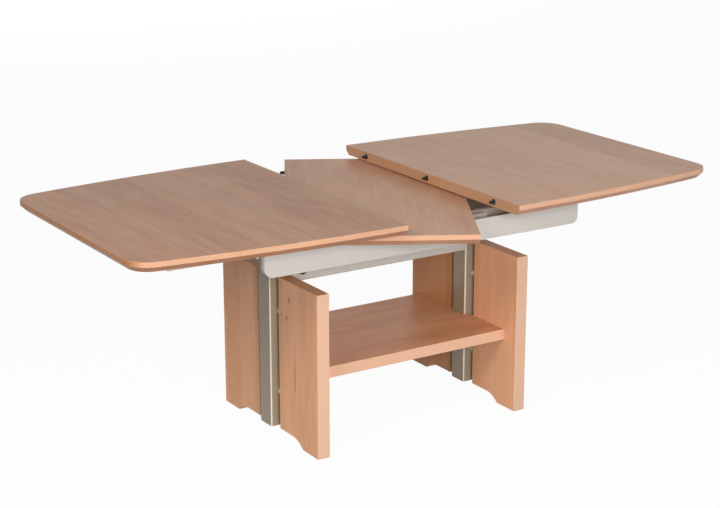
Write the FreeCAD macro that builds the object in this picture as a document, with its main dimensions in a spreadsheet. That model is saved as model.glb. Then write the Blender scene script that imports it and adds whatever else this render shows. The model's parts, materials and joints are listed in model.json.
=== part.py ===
import FreeCAD, Part
import math
import os
import re

import Sketcher

# Driving dimensions in millimetres. Counts, angles in degrees and shares say so in their names.
SIZES = {
    # Leg panels: one foot each, at the outer end
    "base_length": 524,
    "base_depth": 394,
    "panel_thickness": 28,
    "panel_width": 154,
    "panel_head_room": 58,
    "foot_length": 61,
    "foot_rise": 17.5,
    "foot_slant": 18.5,
    "foot_cove": 58,
    "edge_ease": 1,
    "glide_radius": 11,
    "glide_height": 4,
    "glide_proud": 1,
    # Shelf and the dowels that carry it
    "shelf_depth": 310,
    "shelf_thickness": 24,
    "shelf_top": 178,
    "shelf_notch_gap": 3,
    "shelf_notch_round": 12,
    "dowel_radius": 4,
    "dowel_length": 40,
    "dowel_inset": 25,
    "dowel_spacing": 55,
    # Telescopic columns
    "column_side": 48,
    "column_wall": 2,
    "column_round": 5,
    "column_foot": 17,
    "column_head_room": 18,
    "inner_side": 40,
    "inner_wall": 2,
    "inner_round": 4,
    "collar_flange": 3,
    "collar_length": 30,
    "shoe_length": 30,
    "shoe_lip": 4,
    "shoe_hole_radius": 14,
    "plug_height": 6,
    "buffer_height": 17.7,
    "buffer_hole_radius": 10,
    # Spacers and studs between columns and panels
    "lower_spacer_height": 93,
    "upper_spacer_drop": 80,
    "spacer_radius": 7,
    "stud_radius": 4,
    "stud_bite": 30,
    # Corners of the box tubes, outside
    "tube_round": 4,
    # Stretcher beam
    "beam_height": 34,
    "beam_width": 48,
    "beam_wall": 2.5,
    "beam_block": 14,
    "beam_drop": 28,
    # Release lever on the beam
    "lever_end_gap": 0.7,
    "lever_width": 14,
    "lever_thickness": 4,
    "lever_drop": 8,
    "lever_round": 5,
    "knuckle_radius": 5.5,
    "lever_pin_radius": 2.5,
    "bracket_plate": 3,
    "bracket_ear": 2.5,
    "bracket_height": 16,
    "bracket_reach": 14,
    # Gas springs
    "gas_rod_radius": 5,
    "gas_foot_radius": 8,
    "gas_foot_height": 4,
    "gas_body_radius": 11,
    "gas_body_wall": 1.5,
    "gas_foot_room": 85,
    "gas_cap": 6,
    "gas_guide": 12,
    "gas_piston_height": 10,
    "gas_end_gap": 6,
    # Lifting frame
    "frame_depth": 420,
    "plate_length": 80,
    "plate_depth": 90,
    "plate_thickness": 6,
    "plate_round": 8,
    "arm_width": 50,
    "arm_height": 24,
    "arm_wall": 2.5,
    "bearer_width": 60,
    "bearer_wall": 2.5,
    "apron_length": 772,
    "apron_height": 46,
    "apron_sheet": 4,
    "apron_return": 14,
    "apron_bend": 6,
    "apron_inner_bend": 2,
    "apron_corner": 20,
    "rail_apron_gap": 12,
    "rail_end_gap": 46,
    "rail_height": 13,
    "rail_wall": 2.5,
    "channel_width": 22,
    "channel_slot": 13,
    # Runners and crossbars of the halves
    "runner_foot_width": 20,
    "runner_web": 12,
    "runner_overlap": 300,
    "runner_reach": 440,
    "runner_foot_reach": 180,
    "runner_tip": 8,
    "crossbar_width": 35,
    "crossbar_depth": 360,
    "crossbar_wall": 2,
    "crossbar_start": 345,
    # Turntable gear, racks and pivot
    "gear_module": 4,
    "gear_teeth_count": 64,
    "pressure_angle": 20,
    "tooth_play": 0.4,
    "gear_face": 12,
    "rack_gap": 1,
    "rack_spare_teeth_count": 2,
    "gear_window_radius": 20,
    "gear_window_ring": 86,
    "post_radius": 12,
    "post_flange_radius": 40,
    "post_tail": 2,
    "bush_wall": 3,
    "bush_flange": 3,
    "collar_radius": 20,
    "collar_height": 6,
    # Top boards
    "table_height": 506,
    "board_thickness": 21,
    "board_reach": 560,
    "top_width": 654,
    "end_width": 568,
    "corner_round": 52,
    "edge_bevel": 11,
    "closed_gap": 0.2,
    "leaf_width": 380,
    "leaf_bow": 2,
    "leaf_drop_gap": 6,
    "leaf_sweep_gap": 4,
    "rest_turn_share": "0.666666666667",
    # Alignment pins and sockets
    "insert_radius": 6.2,
    "insert_depth": 20,
    "pin_spacing": 241,
    "pin_length": 11,
    "pin_base_radius": 4.6,
    "pin_tip_radius": 2.2,
    "socket_radius": 5,
    "socket_depth": 13,
    # Screws
    "screw_radius": 2.5,
    "screw_head_radius": 4.5,
    "screw_head_height": 3,
    "flat_head_height": 1.5,
    "screw_bite": 12,
    "metal_bite": 7,
    "plate_screw_x": 15,
    "plate_screw_y": 33,
    "board_screw_spacing": 110,
    "access_radius": 6,
    "gear_screw_ring": 86,
    "rack_screw_spacing": 80,
    "rack_screw_bite": 6,
    # Clearances, and how far a cutting shape runs past the surface
    "slide_gap": 0.3,
    "seat_gap": 0.1,
    "running_gap": 0.05,
    "overrun": 5,
}

# Places and sizes that follow from the driving dimensions
PLACES = {
    "panel_in_x": "base_length / 2 - panel_thickness",
    "panel_out_y": "base_depth / 2",
    "panel_in_y": "base_depth / 2 - panel_width",
    "column_x": "base_length / 2 - panel_thickness / 2",
    "column_in_x": "column_x - column_side / 2",
    "column_bore": "column_side - 2 * column_wall",
    "panel_height": "arm_under - panel_head_room",
    "column_top": "plate_under - column_head_room",
    "upper_spacer_height": "panel_height - upper_spacer_drop",
    "plug_top": "column_foot + plug_height",
    "shoe_under": "plug_top + buffer_height + slide_gap",
    "inner_foot": "shoe_under + shoe_lip",
    "shelf_mid": "shelf_top - shelf_thickness / 2",
    "beam_under": "column_top + collar_flange - beam_drop - beam_height",
    "beam_end_x": "column_in_x - beam_block",
    "beam_front": "-beam_width / 2",
    "bracket_half": "lever_width / 2 + slide_gap + bracket_ear",
    "lever_offset": "beam_end_x - lever_end_gap - bracket_half",
    "lever_pivot_height": "beam_under + beam_height - bracket_height / 2",
    "pivot_y": "beam_front - bracket_plate - knuckle_radius - slide_gap",
    "top_under": "table_height - board_thickness",
    "top_mid": "table_height - board_thickness / 2",
    "leaf_top": "top_under - leaf_drop_gap",
    "leaf_mid": "leaf_top - board_thickness / 2",
    "leaf_under": "leaf_top - board_thickness",
    "deck_top": "leaf_under - leaf_sweep_gap",
    "gear_under": "leaf_under - gear_face",
    "rail_top": "gear_under - rack_gap",
    "rail_under": "rail_top - rail_height",
    "rail_floor": "rail_under + rail_wall",
    "arm_under": "rail_under - arm_height",
    "plate_under": "arm_under - plate_thickness",
    "arm_in_x": "column_x - arm_width / 2",
    "apron_under": "deck_top - apron_height",
    "apron_in_y": "frame_depth / 2 - apron_sheet",
    "apron_end_y": "frame_depth / 2 - apron_return",
    "rail_out_y": "apron_end_y - rail_apron_gap",
    "rail_in_y": "rail_out_y - 2 * channel_width - 3 * rail_wall",
    "outer_channel_y": "rail_out_y - rail_wall - channel_width / 2",
    "inner_channel_y": "outer_channel_y - channel_width - rail_wall",
    "runner_under": "rail_floor + slide_gap",
    "web_under": "rail_top - rail_wall - slide_gap",
    "pitch_radius": "gear_module * gear_teeth_count / 2",
    "rest_slide": "rest_turn_share * pi / 2 * pitch_radius",
    "rack_back_y": "inner_channel_y - runner_web / 2",
    "bush_top": "rail_under + bush_flange",
    "edge_sag": "(top_width - end_width) / 2",
    "edge_radius": "(board_reach ^ 2 + edge_sag ^ 2) / (2 * edge_sag)",
    "bow_radius": "(leaf_width ^ 2 / 4 + leaf_bow ^ 2) / (2 * leaf_bow)",
    "board_inner_x": "closed_gap / 2",
    "gas_under": "plug_top + gas_foot_height + gas_foot_room",
    "gas_body_length": "plate_under - gas_under",
    "piston_top": "plate_under - gas_cap - gas_end_gap",
    "rack_mid": "(gear_under + deck_top) / 2",
}

# Places that more than one piece follows
SPACER_LEVELS = (("low", "lower_spacer_height"), ("high", "upper_spacer_height"))
DOWEL_PLACES = ("shelf_depth / 2 - dowel_inset", "shelf_depth / 2 - dowel_inset - dowel_spacing")
PLATE_SCREW_PLACES = (
    ("out_rear", "column_x + plate_screw_x", "plate_screw_y"),
    ("out_front", "column_x + plate_screw_x", "-plate_screw_y"),
    ("in_rear", "column_x - plate_screw_x", "plate_screw_y"),
    ("in_front", "column_x - plate_screw_x", "-plate_screw_y"))
RAIL_SCREW_PLACES = (
    ("rear_outer", "outer_channel_y"), ("rear_inner", "inner_channel_y"),
    ("front_inner", "-inner_channel_y"), ("front_outer", "-outer_channel_y"))
PIN_PLACES = (("front", "-pin_spacing"), ("middle", "0"), ("rear", "pin_spacing"))
BAR_PLACES = (
    ("inner", "crossbar_start + crossbar_width / 2"), ("outer", "runner_reach - crossbar_width / 2"))
BOARD_SCREW_PLACES = (("front", "-board_screw_spacing"), ("middle", "0"), ("rear", "board_screw_spacing"))
RUNNER_PLACES = (("front", "-inner_channel_y"), ("rear", "outer_channel_y"))
RACK_SCREW_PLACES = ("0", "-rack_screw_spacing", "-2 * rack_screw_spacing")

# Depth of a gear tooth below the pitch line as a share of the module, and windows in the gear
DEDENDUM_SHARE = 1.25
GEAR_WINDOW_COUNT = 6

WORD = re.compile(r"[A-Za-z_]\w*")
TURNS = {
    "x": FreeCAD.Rotation(FreeCAD.Vector(0, 1, 0), 90),
    "-x": FreeCAD.Rotation(FreeCAD.Vector(0, 1, 0), -90),
    "y": FreeCAD.Rotation(FreeCAD.Vector(1, 0, 0), -90),
    "z": FreeCAD.Rotation(),
}
NORMALS = {"x": FreeCAD.Vector(1, 0, 0), "y": FreeCAD.Vector(0, 1, 0)}
SAME_PLACE = 1e-4

doc = FreeCAD.newDocument("convertible_table")
sheet = doc.addObject("Spreadsheet::Sheet", "Sizes")
nodes = []


# The sheet, and formulas written on it

def fill_sheet():
    """Put each driving dimension in its own named cell."""
    for row, (word, size) in enumerate(SIZES.items(), 1):
        sheet.set("A%d" % row, word)
        sheet.set("B%d" % row, str(size))
        sheet.setAlias("B%d" % row, word)
    doc.recompute()


def bound(formula):
    """Write a formula of size and place names as an expression on the sheet."""
    def spelled(match):
        word = match.group()
        if word in SIZES:
            return "Sizes." + word
        if word in PLACES:
            return "(" + bound(PLACES[word]) + ")"
        return word
    return WORD.sub(spelled, formula)


def value(formula):
    """The number that a formula gives with the sheet as it stands."""
    return float(sheet.evalExpression(bound(formula)))


def tie(item, path, formula):
    """Bind one property of an object to a formula."""
    item.setExpression(path, bound(formula))


def seat(item, at):
    """Bind an object's place to three formulas."""
    for axis, formula in zip("xyz", at):
        tie(item, ".Placement.Base." + axis, formula)


def node(item, label):
    """Name a finished sub-part, which is then written to its own file."""
    item.Label = label
    nodes.append(item)
    return item


# Simple solids, copies and cuts

def block(name, size, at):
    """A box from its lowest corner."""
    item = doc.addObject("Part::Box", name)
    for side, formula in zip(("Length", "Width", "Height"), size):
        tie(item, side, formula)
    seat(item, at)
    return item


def slab(name, size, middle, under):
    """A box centred on a point in plan, standing on a level."""
    at = ["(%s) - (%s) / 2" % pair for pair in zip(middle, size)]
    return block(name, size, (at[0], at[1], under))


def rod(name, radius, length, at, axis="z"):
    """A round bar from a point along an axis."""
    item = doc.addObject("Part::Cylinder", name)
    item.Placement = FreeCAD.Placement(FreeCAD.Vector(), TURNS[axis])
    tie(item, "Radius", radius)
    tie(item, "Height", length)
    seat(item, at)
    return item


def taper(name, radius, tip, length, at, axis):
    """A round tapered nose from a point along an axis."""
    item = doc.addObject("Part::Cone", name)
    item.Placement = FreeCAD.Placement(FreeCAD.Vector(), TURNS[axis])
    tie(item, "Radius1", radius)
    tie(item, "Radius2", tip)
    tie(item, "Height", length)
    seat(item, at)
    return item


def group(name, items):
    """Separate solids kept together as one object."""
    item = doc.addObject("Part::Compound", name)
    item.Links = items
    return item


def cut(name, base, tools):
    """What is left of a solid once the tools are taken out of it."""
    item = doc.addObject("Part::Cut", name)
    item.Base = base
    item.Tool = tools[0] if len(tools) == 1 else group(name + "_tools", tools)
    return item


def joined(name, items):
    """Solids that are one piece of material."""
    item = doc.addObject("Part::MultiFuse", name)
    item.Shapes = items
    return item


def common(name, first, second):
    """What two solids share."""
    item = doc.addObject("Part::Common", name)
    item.Base = first
    item.Tool = second
    return item


def mirrored(name, source, across):
    """The mirror image across the middle of the table."""
    item = doc.addObject("Part::Mirroring", name)
    item.Source = source
    item.Normal = NORMALS[across]
    return item


def two_ways(name, piece, across):
    """A piece and its mirror image, as a list."""
    return [piece, mirrored(name + "_" + across, piece, across)]


def four_ways(name, piece):
    """A piece in all four quarters of the table, as a list."""
    pair = two_ways(name, piece, "x")
    return pair + [mirrored(name + "_y", pair[0], "y"), mirrored(name + "_xy", pair[1], "y")]


def turned(name, source):
    """A copy turned half way round the table's middle."""
    item = group(name, [source])
    item.Placement = FreeCAD.Placement(FreeCAD.Vector(), FreeCAD.Rotation(FreeCAD.Vector(0, 0, 1), 180))
    return item


# Bodies with sketched outlines

def corner_points(points):
    """The corners of an outline as vectors in its plane."""
    return [FreeCAD.Vector(value(point[0]), value(point[1]), 0) for point in points]


def bulge(start, end, radius):
    """The middle point of an outward arc between two corners of an anticlockwise outline."""
    chord = end - start
    outward = FreeCAD.Vector(chord.y, -chord.x, 0).normalize()
    rise = radius - math.sqrt(radius ** 2 - chord.Length ** 2 / 4)
    return (start + end) * 0.5 + outward * rise


def outline(body, plane, points, start):
    """A closed sketch through corners given as formulas; a third formula bows the side that follows."""
    sketch = body.newObject("Sketcher::SketchObject", body.Name + "_outline")
    support = [item for item in body.Origin.OriginFeatures if item.Role == plane][0]
    sketch.AttachmentSupport = (support, [""])
    sketch.MapMode = "FlatFace"
    tie(sketch, ".AttachmentOffset.Base.z", start)
    corners = corner_points(points)
    count = len(points)
    for index, point in enumerate(points):
        here, there = corners[index], corners[(index + 1) % count]
        if len(point) == 2:
            sketch.addGeometry(Part.LineSegment(here, there))
        else:
            sketch.addGeometry(Part.Arc(here, bulge(here, there, value(point[2])), there))
    for index in range(count):
        sketch.addConstraint(Sketcher.Constraint("Coincident", index, 2, (index + 1) % count, 1))
    for index, point in enumerate(points):
        for kind, formula, number in zip(("DistanceX", "DistanceY"), point, corners[index]):
            pinned = sketch.addConstraint(Sketcher.Constraint(kind, -1, 1, index, 1, number))
            tie(sketch, "Constraints[%d]" % pinned, formula)
        if len(point) == 3:
            held = sketch.addConstraint(Sketcher.Constraint("Radius", index, value(point[2])))
            tie(sketch, "Constraints[%d]" % held, point[2])
    return sketch


def prism(name, plane, points, start, length):
    """A body: an outline on a plane, made solid from a level along the plane's normal."""
    body = doc.addObject("PartDesign::Body", name)
    sketch = outline(body, plane, points, start)
    pad = body.newObject("PartDesign::Pad", name + "_pad")
    pad.Profile = sketch
    tie(pad, "Length", length)
    doc.recompute()
    return body


def dress(body, kind, size_name, formula, keep):
    """Round or bevel those edges of a body that a test keeps."""
    tip = body.Tip
    edges = ["Edge%d" % number for number, edge in enumerate(tip.Shape.Edges, 1) if keep(edge)]
    feature = body.newObject("PartDesign::" + kind, "%s_%s_%d" % (body.Name, kind, len(body.Group)))
    feature.Base = (tip, edges)
    tie(feature, size_name, formula)
    doc.recompute()
    return body


def rounded(body, radius, keep):
    return dress(body, "Fillet", "Radius", radius, keep)


def bevelled(body, size, keep):
    return dress(body, "Chamfer", "Size", size, keep)


def flat_at(edge, axis, formula):
    """Whether a whole edge lies in the plane where one coordinate has a value."""
    low = getattr(edge.BoundBox, axis.upper() + "Min")
    high = getattr(edge.BoundBox, axis.upper() + "Max")
    wanted = value(formula)
    return abs(low - wanted) < SAME_PLACE and abs(high - wanted) < SAME_PLACE


def runs_along(edge, axis):
    """Whether an edge is straight and parallel to an axis."""
    others = [other for other in "XYZ" if other != axis.upper()]
    return all(getattr(edge.BoundBox, other + "Length") < SAME_PLACE for other in others)


def rectangle(size_x, size_y):
    """Corners of a rectangle centred on the origin."""
    half_x = "(%s) / 2" % size_x
    half_y = "(%s) / 2" % size_y
    return [("-" + half_x, "-" + half_y), (half_x, "-" + half_y), (half_x, half_y), ("-" + half_x, half_y)]


def square_post(name, side, radius, height, at):
    """An upright square bar with rounded corners."""
    body = prism(name, "XY_Plane", rectangle(side, side), "0", height)
    rounded(body, radius, lambda edge: runs_along(edge, "z"))
    seat(body, at)
    return body


def square_tube(name, side, wall, radius, height, at):
    """An upright square tube, with the same wall round its corners."""
    outside = square_post(name + "_outside", side, radius, height, at)
    bore_at = (at[0], at[1], "%s - overrun" % at[2])
    bore_side = "(%s) - 2 * (%s)" % (side, wall)
    bore_round = "%s - %s" % (radius, wall)
    inside = square_post(name + "_inside", bore_side, bore_round, "(%s) + 2 * overrun" % height, bore_at)
    return cut(name, outside, [inside])


def lying_bar(name, axis, section, start, length, inset="0"):
    """A bar along X or Y with rounded corners, from its middle, width, underside and height."""
    middle, width, under, height = section
    half = "((%s) / 2 - (%s))" % (width, inset)
    left, right = "%s - %s" % (middle, half), "%s + %s" % (middle, half)
    floor, roof = "%s + %s" % (under, inset), "%s + %s - (%s)" % (under, height, inset)
    plane = {"x": "YZ_Plane", "y": "XZ_Plane"}[axis]
    body = prism(name, plane, [(left, floor), (right, floor), (right, roof), (left, roof)], start, length)
    return rounded(body, "tube_round - (%s)" % inset, lambda edge: runs_along(edge, axis))


def box_tube(name, axis, section, wall, length):
    """A lying box tube with the same wall round its corners, centred on the table's middle."""
    outside = lying_bar(name + "_outside", axis, section, "-(%s) / 2" % length, length)
    inside = lying_bar(name + "_inside", axis, section, "-(%s) / 2 - overrun" % length,
                       "%s + 2 * overrun" % length, wall)
    return cut(name, outside, [inside])


# Leg panels, shelf and their fittings

def leg_panels():
    body = prism("panel_blank", "YZ_Plane", [
        ("panel_in_y", "foot_rise"), ("panel_out_y - foot_length - foot_slant", "foot_rise"),
        ("panel_out_y - foot_length", "glide_proud"), ("panel_out_y", "glide_proud"),
        ("panel_out_y", "panel_height"), ("panel_in_y", "panel_height")], "panel_in_x", "panel_thickness")
    rounded(body, "foot_cove", lambda edge: runs_along(edge, "x") and flat_at(edge, "z", "foot_rise")
            and flat_at(edge, "y", "panel_out_y - foot_length - foot_slant"))
    rounded(body, "edge_ease", lambda edge: flat_at(edge, "x", "panel_in_x")
            or flat_at(edge, "x", "base_length / 2"))
    holes = [
        rod("panel_stud_hole_" + level, "stud_radius + seat_gap", "stud_bite + overrun",
            ("column_x", "panel_in_y - overrun", height), "y")
        for level, height in SPACER_LEVELS]
    holes += [
        rod("panel_dowel_hole_%d" % number, "dowel_radius + seat_gap", "dowel_length / 2 + overrun",
            ("panel_in_x - overrun", place, "shelf_mid"), "x")
        for number, place in enumerate(DOWEL_PLACES)]
    holes.append(rod("glide_pocket", "glide_radius + seat_gap", "glide_height",
                     ("column_x", "panel_out_y - foot_length / 2", "0")))
    right_rear = node(cut("right_rear_panel", body, holes), "right_rear_panel")
    node(mirrored("right_front_panel", right_rear, "y"), "right_front_panel")
    left_rear = node(mirrored("left_rear_panel", right_rear, "x"), "left_rear_panel")
    node(mirrored("left_front_panel", left_rear, "y"), "left_front_panel")


def panel_fittings():
    """Spacers, studs, dowels and glides, each in every quarter of the base."""
    spacers, studs = [], []
    for level, height in SPACER_LEVELS:
        face = ("column_x", "column_side / 2", height)
        sleeve = rod("spacer_sleeve_" + level, "spacer_radius", "panel_in_y - column_side / 2", face, "y")
        bore = rod("spacer_bore_" + level, "stud_radius + seat_gap", "panel_in_y", face, "y")
        spacers += four_ways("spacer_" + level, cut("spacer_" + level, sleeve, [bore]))
        studs += four_ways("stud_" + level, rod(
            "stud_" + level, "stud_radius", "panel_in_y + stud_bite - column_side / 2 + column_wall / 2",
            ("column_x", "column_side / 2 - column_wall / 2", height), "y"))
    node(group("panel_spacers", spacers), "panel_spacers")
    node(group("panel_studs", studs), "panel_studs")
    dowels = []
    for number, place in enumerate(DOWEL_PLACES):
        dowels += four_ways("dowel_%d" % number, rod(
            "dowel_%d" % number, "dowel_radius", "dowel_length",
            ("panel_in_x - dowel_length / 2", place, "shelf_mid"), "x"))
    node(group("shelf_dowels", dowels), "shelf_dowels")
    glide = rod("glide", "glide_radius", "glide_height", ("column_x", "panel_out_y - foot_length / 2", "0"))
    node(group("foot_glides", four_ways("glide", glide)), "foot_glides")


def shelf():
    notch_x = "(column_in_x - shelf_notch_gap)"
    notch_y = "(column_side / 2 + shelf_notch_gap)"
    half = "shelf_depth / 2"
    right_side = [("panel_in_x", "-" + half), ("panel_in_x", "-" + notch_y), (notch_x, "-" + notch_y),
                  (notch_x, notch_y), ("panel_in_x", notch_y), ("panel_in_x", half)]
    left_side = [("-(%s)" % x, "-(%s)" % y) for x, y in right_side]
    body = prism("shelf_blank", "XY_Plane", right_side + left_side, "shelf_top - shelf_thickness",
                 "shelf_thickness")
    rounded(body, "shelf_notch_round", lambda edge: runs_along(edge, "z") and (
        flat_at(edge, "x", notch_x) or flat_at(edge, "x", "-" + notch_x)))
    rounded(body, "edge_ease", lambda edge: runs_along(edge, "x") and (
        flat_at(edge, "y", half) or flat_at(edge, "y", "-" + half)))
    holes = []
    for number, place in enumerate(DOWEL_PLACES):
        hole = rod("shelf_hole_%d" % number, "dowel_radius + seat_gap", "dowel_length / 2 + overrun",
                   ("panel_in_x - dowel_length / 2", place, "shelf_mid"), "x")
        holes += four_ways("shelf_hole_%d" % number, hole)
    node(cut("shelf", body, holes), "shelf")


# Columns, gas springs and stretcher beam

def outer_columns():
    tube = square_tube("outer_tube", "column_side", "column_wall", "column_round", "column_top - column_foot",
                       ("column_x", "0", "column_foot"))
    holes = [
        rod("column_stud_hole_" + level, "stud_radius + seat_gap", "column_side + 2 * overrun",
            ("column_x", "-column_side / 2 - overrun", height), "y")
        for level, height in SPACER_LEVELS]
    right = node(cut("right_outer_column", tube, holes), "right_outer_column")
    node(mirrored("left_outer_column", right, "x"), "left_outer_column")


def column_fittings():
    """Base plugs, stop buffers and guide collars inside the outer columns."""
    seat_side = "column_bore - 2 * seat_gap"
    seat_round = "column_round - column_wall - seat_gap"
    plug = square_post("base_plug", seat_side, seat_round, "plug_height", ("column_x", "0", "column_foot"))
    node(group("column_base_plugs", two_ways("base_plug", plug, "x")), "column_base_plugs")
    pad = square_post("buffer_pad", seat_side, seat_round, "buffer_height", ("column_x", "0", "plug_top"))
    hole = rod("buffer_hole", "buffer_hole_radius", "buffer_height + 2 * overrun",
               ("column_x", "0", "plug_top - overrun"))
    node(group("stop_buffers", two_ways("buffer", cut("buffer", pad, [hole]), "x")), "stop_buffers")
    sleeve = square_post("collar_sleeve", seat_side, seat_round, "collar_length",
                         ("column_x", "0", "column_top - collar_length"))
    flange = square_post("collar_flange_plate", "column_side", "column_round", "collar_flange",
                         ("column_x", "0", "column_top"))
    bore = square_post("collar_bore", "inner_side + 2 * slide_gap", "inner_round + slide_gap",
                       "collar_length + collar_flange + 2 * overrun",
                       ("column_x", "0", "column_top - collar_length - overrun"))
    collar = cut("guide_collar", joined("collar_blank", [sleeve, flange]), [bore])
    node(group("guide_collars", two_ways("guide_collar", collar, "x")), "guide_collars")


def gas_springs():
    """A rod on each base plug, and a cylinder under each head plate that rides up it."""
    foot = rod("gas_foot", "gas_foot_radius", "gas_foot_height", ("column_x", "0", "plug_top"))
    stem = rod("gas_stem", "gas_rod_radius", "piston_top - plug_top", ("column_x", "0", "plug_top"))
    piston = rod("gas_piston", "gas_body_radius - gas_body_wall - slide_gap", "gas_piston_height",
                 ("column_x", "0", "piston_top - gas_piston_height"))
    rods = joined("gas_rod", [foot, stem, piston])
    node(group("gas_spring_rods", two_ways("gas_rod", rods, "x")), "gas_spring_rods")
    shell = rod("gas_shell", "gas_body_radius", "gas_body_length", ("column_x", "0", "gas_under"))
    bore = rod("gas_bore", "gas_body_radius - gas_body_wall", "gas_body_length - gas_cap - gas_guide",
               ("column_x", "0", "gas_under + gas_guide"))
    mouth = rod("gas_mouth", "gas_rod_radius + slide_gap", "gas_guide + 2 * overrun",
                ("column_x", "0", "gas_under - overrun"))
    hollow = joined("gas_hollow", [bore, mouth])
    cylinder = cut("gas_cylinder", shell, [hollow])
    node(group("gas_spring_cylinders", two_ways("gas_cylinder", cylinder, "x")), "gas_spring_cylinders")


def stretcher_beam():
    section = ("0", "beam_width", "beam_under", "beam_height")
    node(box_tube("stretcher_beam", "x", section, "beam_wall", "2 * beam_end_x"), "stretcher_beam")
    end = lying_bar("beam_end", "x", section, "beam_end_x", "beam_block")
    node(group("beam_end_blocks", two_ways("beam_end", end, "x")), "beam_end_blocks")


def release_lever():
    """A small sprung lever on a bracket at the front of the beam."""
    inside = "lever_width + 2 * slide_gap"
    outside = "(2 * bracket_half)"
    under = "lever_pivot_height - bracket_height / 2"
    plate = slab("bracket_plate", (outside, "bracket_plate", "bracket_height"),
                 ("-lever_offset", "beam_front - bracket_plate / 2"), under)
    cheeks = slab("bracket_cheeks", (outside, "bracket_reach", "bracket_height / 2"),
                  ("-lever_offset", "beam_front - bracket_plate - bracket_reach / 2"),
                  "lever_pivot_height - bracket_height / 4")
    room = slab("bracket_room", (inside, "bracket_reach", "bracket_height"),
                ("-lever_offset", "beam_front - bracket_plate - bracket_reach / 2"), under)
    pin_at = ("-lever_offset - %s / 2" % outside, "pivot_y", "lever_pivot_height")
    pin_hole = rod("bracket_pin_hole", "lever_pin_radius", outside, pin_at, "x")
    ears = cut("bracket_ears", cheeks, [room])
    node(cut("release_bracket", joined("bracket_blank", [plate, ears]), [pin_hole]), "release_bracket")
    node(rod("release_pin", "lever_pin_radius", outside, pin_at, "x"), "release_pin")
    knuckle = rod("lever_knuckle", "knuckle_radius", "lever_width",
                  ("-lever_offset - lever_width / 2", "pivot_y", "lever_pivot_height"), "x")
    left, right = "-lever_offset - lever_width / 2", "-lever_offset + lever_width / 2"
    tip = "lever_pivot_height - lever_drop"
    blade = prism("lever_blade", "XZ_Plane", [
        (left, tip), (right, tip), (right, "lever_pivot_height"), (left, "lever_pivot_height")],
        "knuckle_radius - pivot_y - lever_thickness", "lever_thickness")
    rounded(blade, "lever_round", lambda edge: runs_along(edge, "y") and flat_at(edge, "z", tip))
    bore = rod("lever_bore", "lever_pin_radius + running_gap", outside, pin_at, "x")
    node(cut("release_lever", joined("lever_blank", [knuckle, blade]), [bore]), "release_lever")


# Lifting frame

def inner_columns():
    tube = square_tube("inner_tube", "inner_side", "inner_wall", "inner_round", "plate_under - inner_foot",
                       ("column_x", "0", "inner_foot"))
    right = node(group("right_inner_column", [tube]), "right_inner_column")
    node(mirrored("left_inner_column", right, "x"), "left_inner_column")
    shoe_round = "column_round - column_wall - slide_gap"
    outside = square_post("shoe_outside", "column_bore - 2 * slide_gap", shoe_round, "shoe_length",
                          ("column_x", "0", "shoe_under"))
    cup = square_post("shoe_cup", "inner_side + 2 * seat_gap", "inner_round + seat_gap", "shoe_length",
                      ("column_x", "0", "inner_foot"))
    hole = rod("shoe_hole", "shoe_hole_radius", "shoe_lip + 2 * overrun",
               ("column_x", "0", "shoe_under - overrun"))
    shoe = cut("guide_shoe", outside, [joined("shoe_hollow", [cup, hole])])
    node(group("guide_shoes", two_ways("guide_shoe", shoe, "x")), "guide_shoes")


def head_plates_and_arms():
    """A head plate on each inner column, and a cross arm screwed down to it."""
    plate_holes, plate_screws, rail_screws, rail_holes = [], [], [], []
    for tag, x, y in PLATE_SCREW_PLACES:
        plate_holes.append(rod("plate_hole_" + tag, "screw_radius + seat_gap",
                               "plate_thickness + arm_wall + overrun", (x, y, "plate_under - overrun / 2")))
        head = rod("plate_head_" + tag, "screw_head_radius", "screw_head_height",
                   (x, y, "plate_under - screw_head_height"))
        shank = rod("plate_shank_" + tag, "screw_radius", "plate_thickness + metal_bite",
                    (x, y, "plate_under"))
        plate_screws.append(joined("plate_screw_" + tag, [head, shank]))
    for side, y in RAIL_SCREW_PLACES:
        top = "rail_floor - flat_head_height"
        head = rod("rail_head_" + side, "screw_head_radius", "flat_head_height", ("column_x", y, top))
        shank = rod("rail_shank_" + side, "screw_radius", "rail_wall + metal_bite",
                    ("column_x", y, "rail_under - metal_bite"))
        rail_screws.append(joined("rail_screw_" + side, [head, shank]))
        rail_holes.append(rod("arm_rail_hole_" + side, "screw_radius + seat_gap", "arm_wall + overrun",
                              ("column_x", y, "rail_under - arm_wall - overrun / 2")))
    plate = prism("head_plate_blank", "XY_Plane", rectangle("plate_length", "plate_depth"), "0",
                  "plate_thickness")
    rounded(plate, "plate_round", lambda edge: runs_along(edge, "z"))
    seat(plate, ("column_x", "0", "plate_under"))
    plate = cut("head_plate", plate, plate_holes)
    node(group("head_plates", two_ways("head_plate", plate, "x")), "head_plates")
    section = ("column_x", "arm_width", "arm_under", "arm_height")
    tube = box_tube("arm_tube", "y", section, "arm_wall", "2 * apron_in_y")
    right = node(cut("right_cross_arm", tube, plate_holes + rail_holes), "right_cross_arm")
    node(mirrored("left_cross_arm", right, "x"), "left_cross_arm")
    screws = plate_screws + rail_screws
    screws += [mirrored("%s_left" % screw.Name, screw, "x") for screw in screws]
    node(group("frame_screws", screws), "frame_screws")


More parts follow.
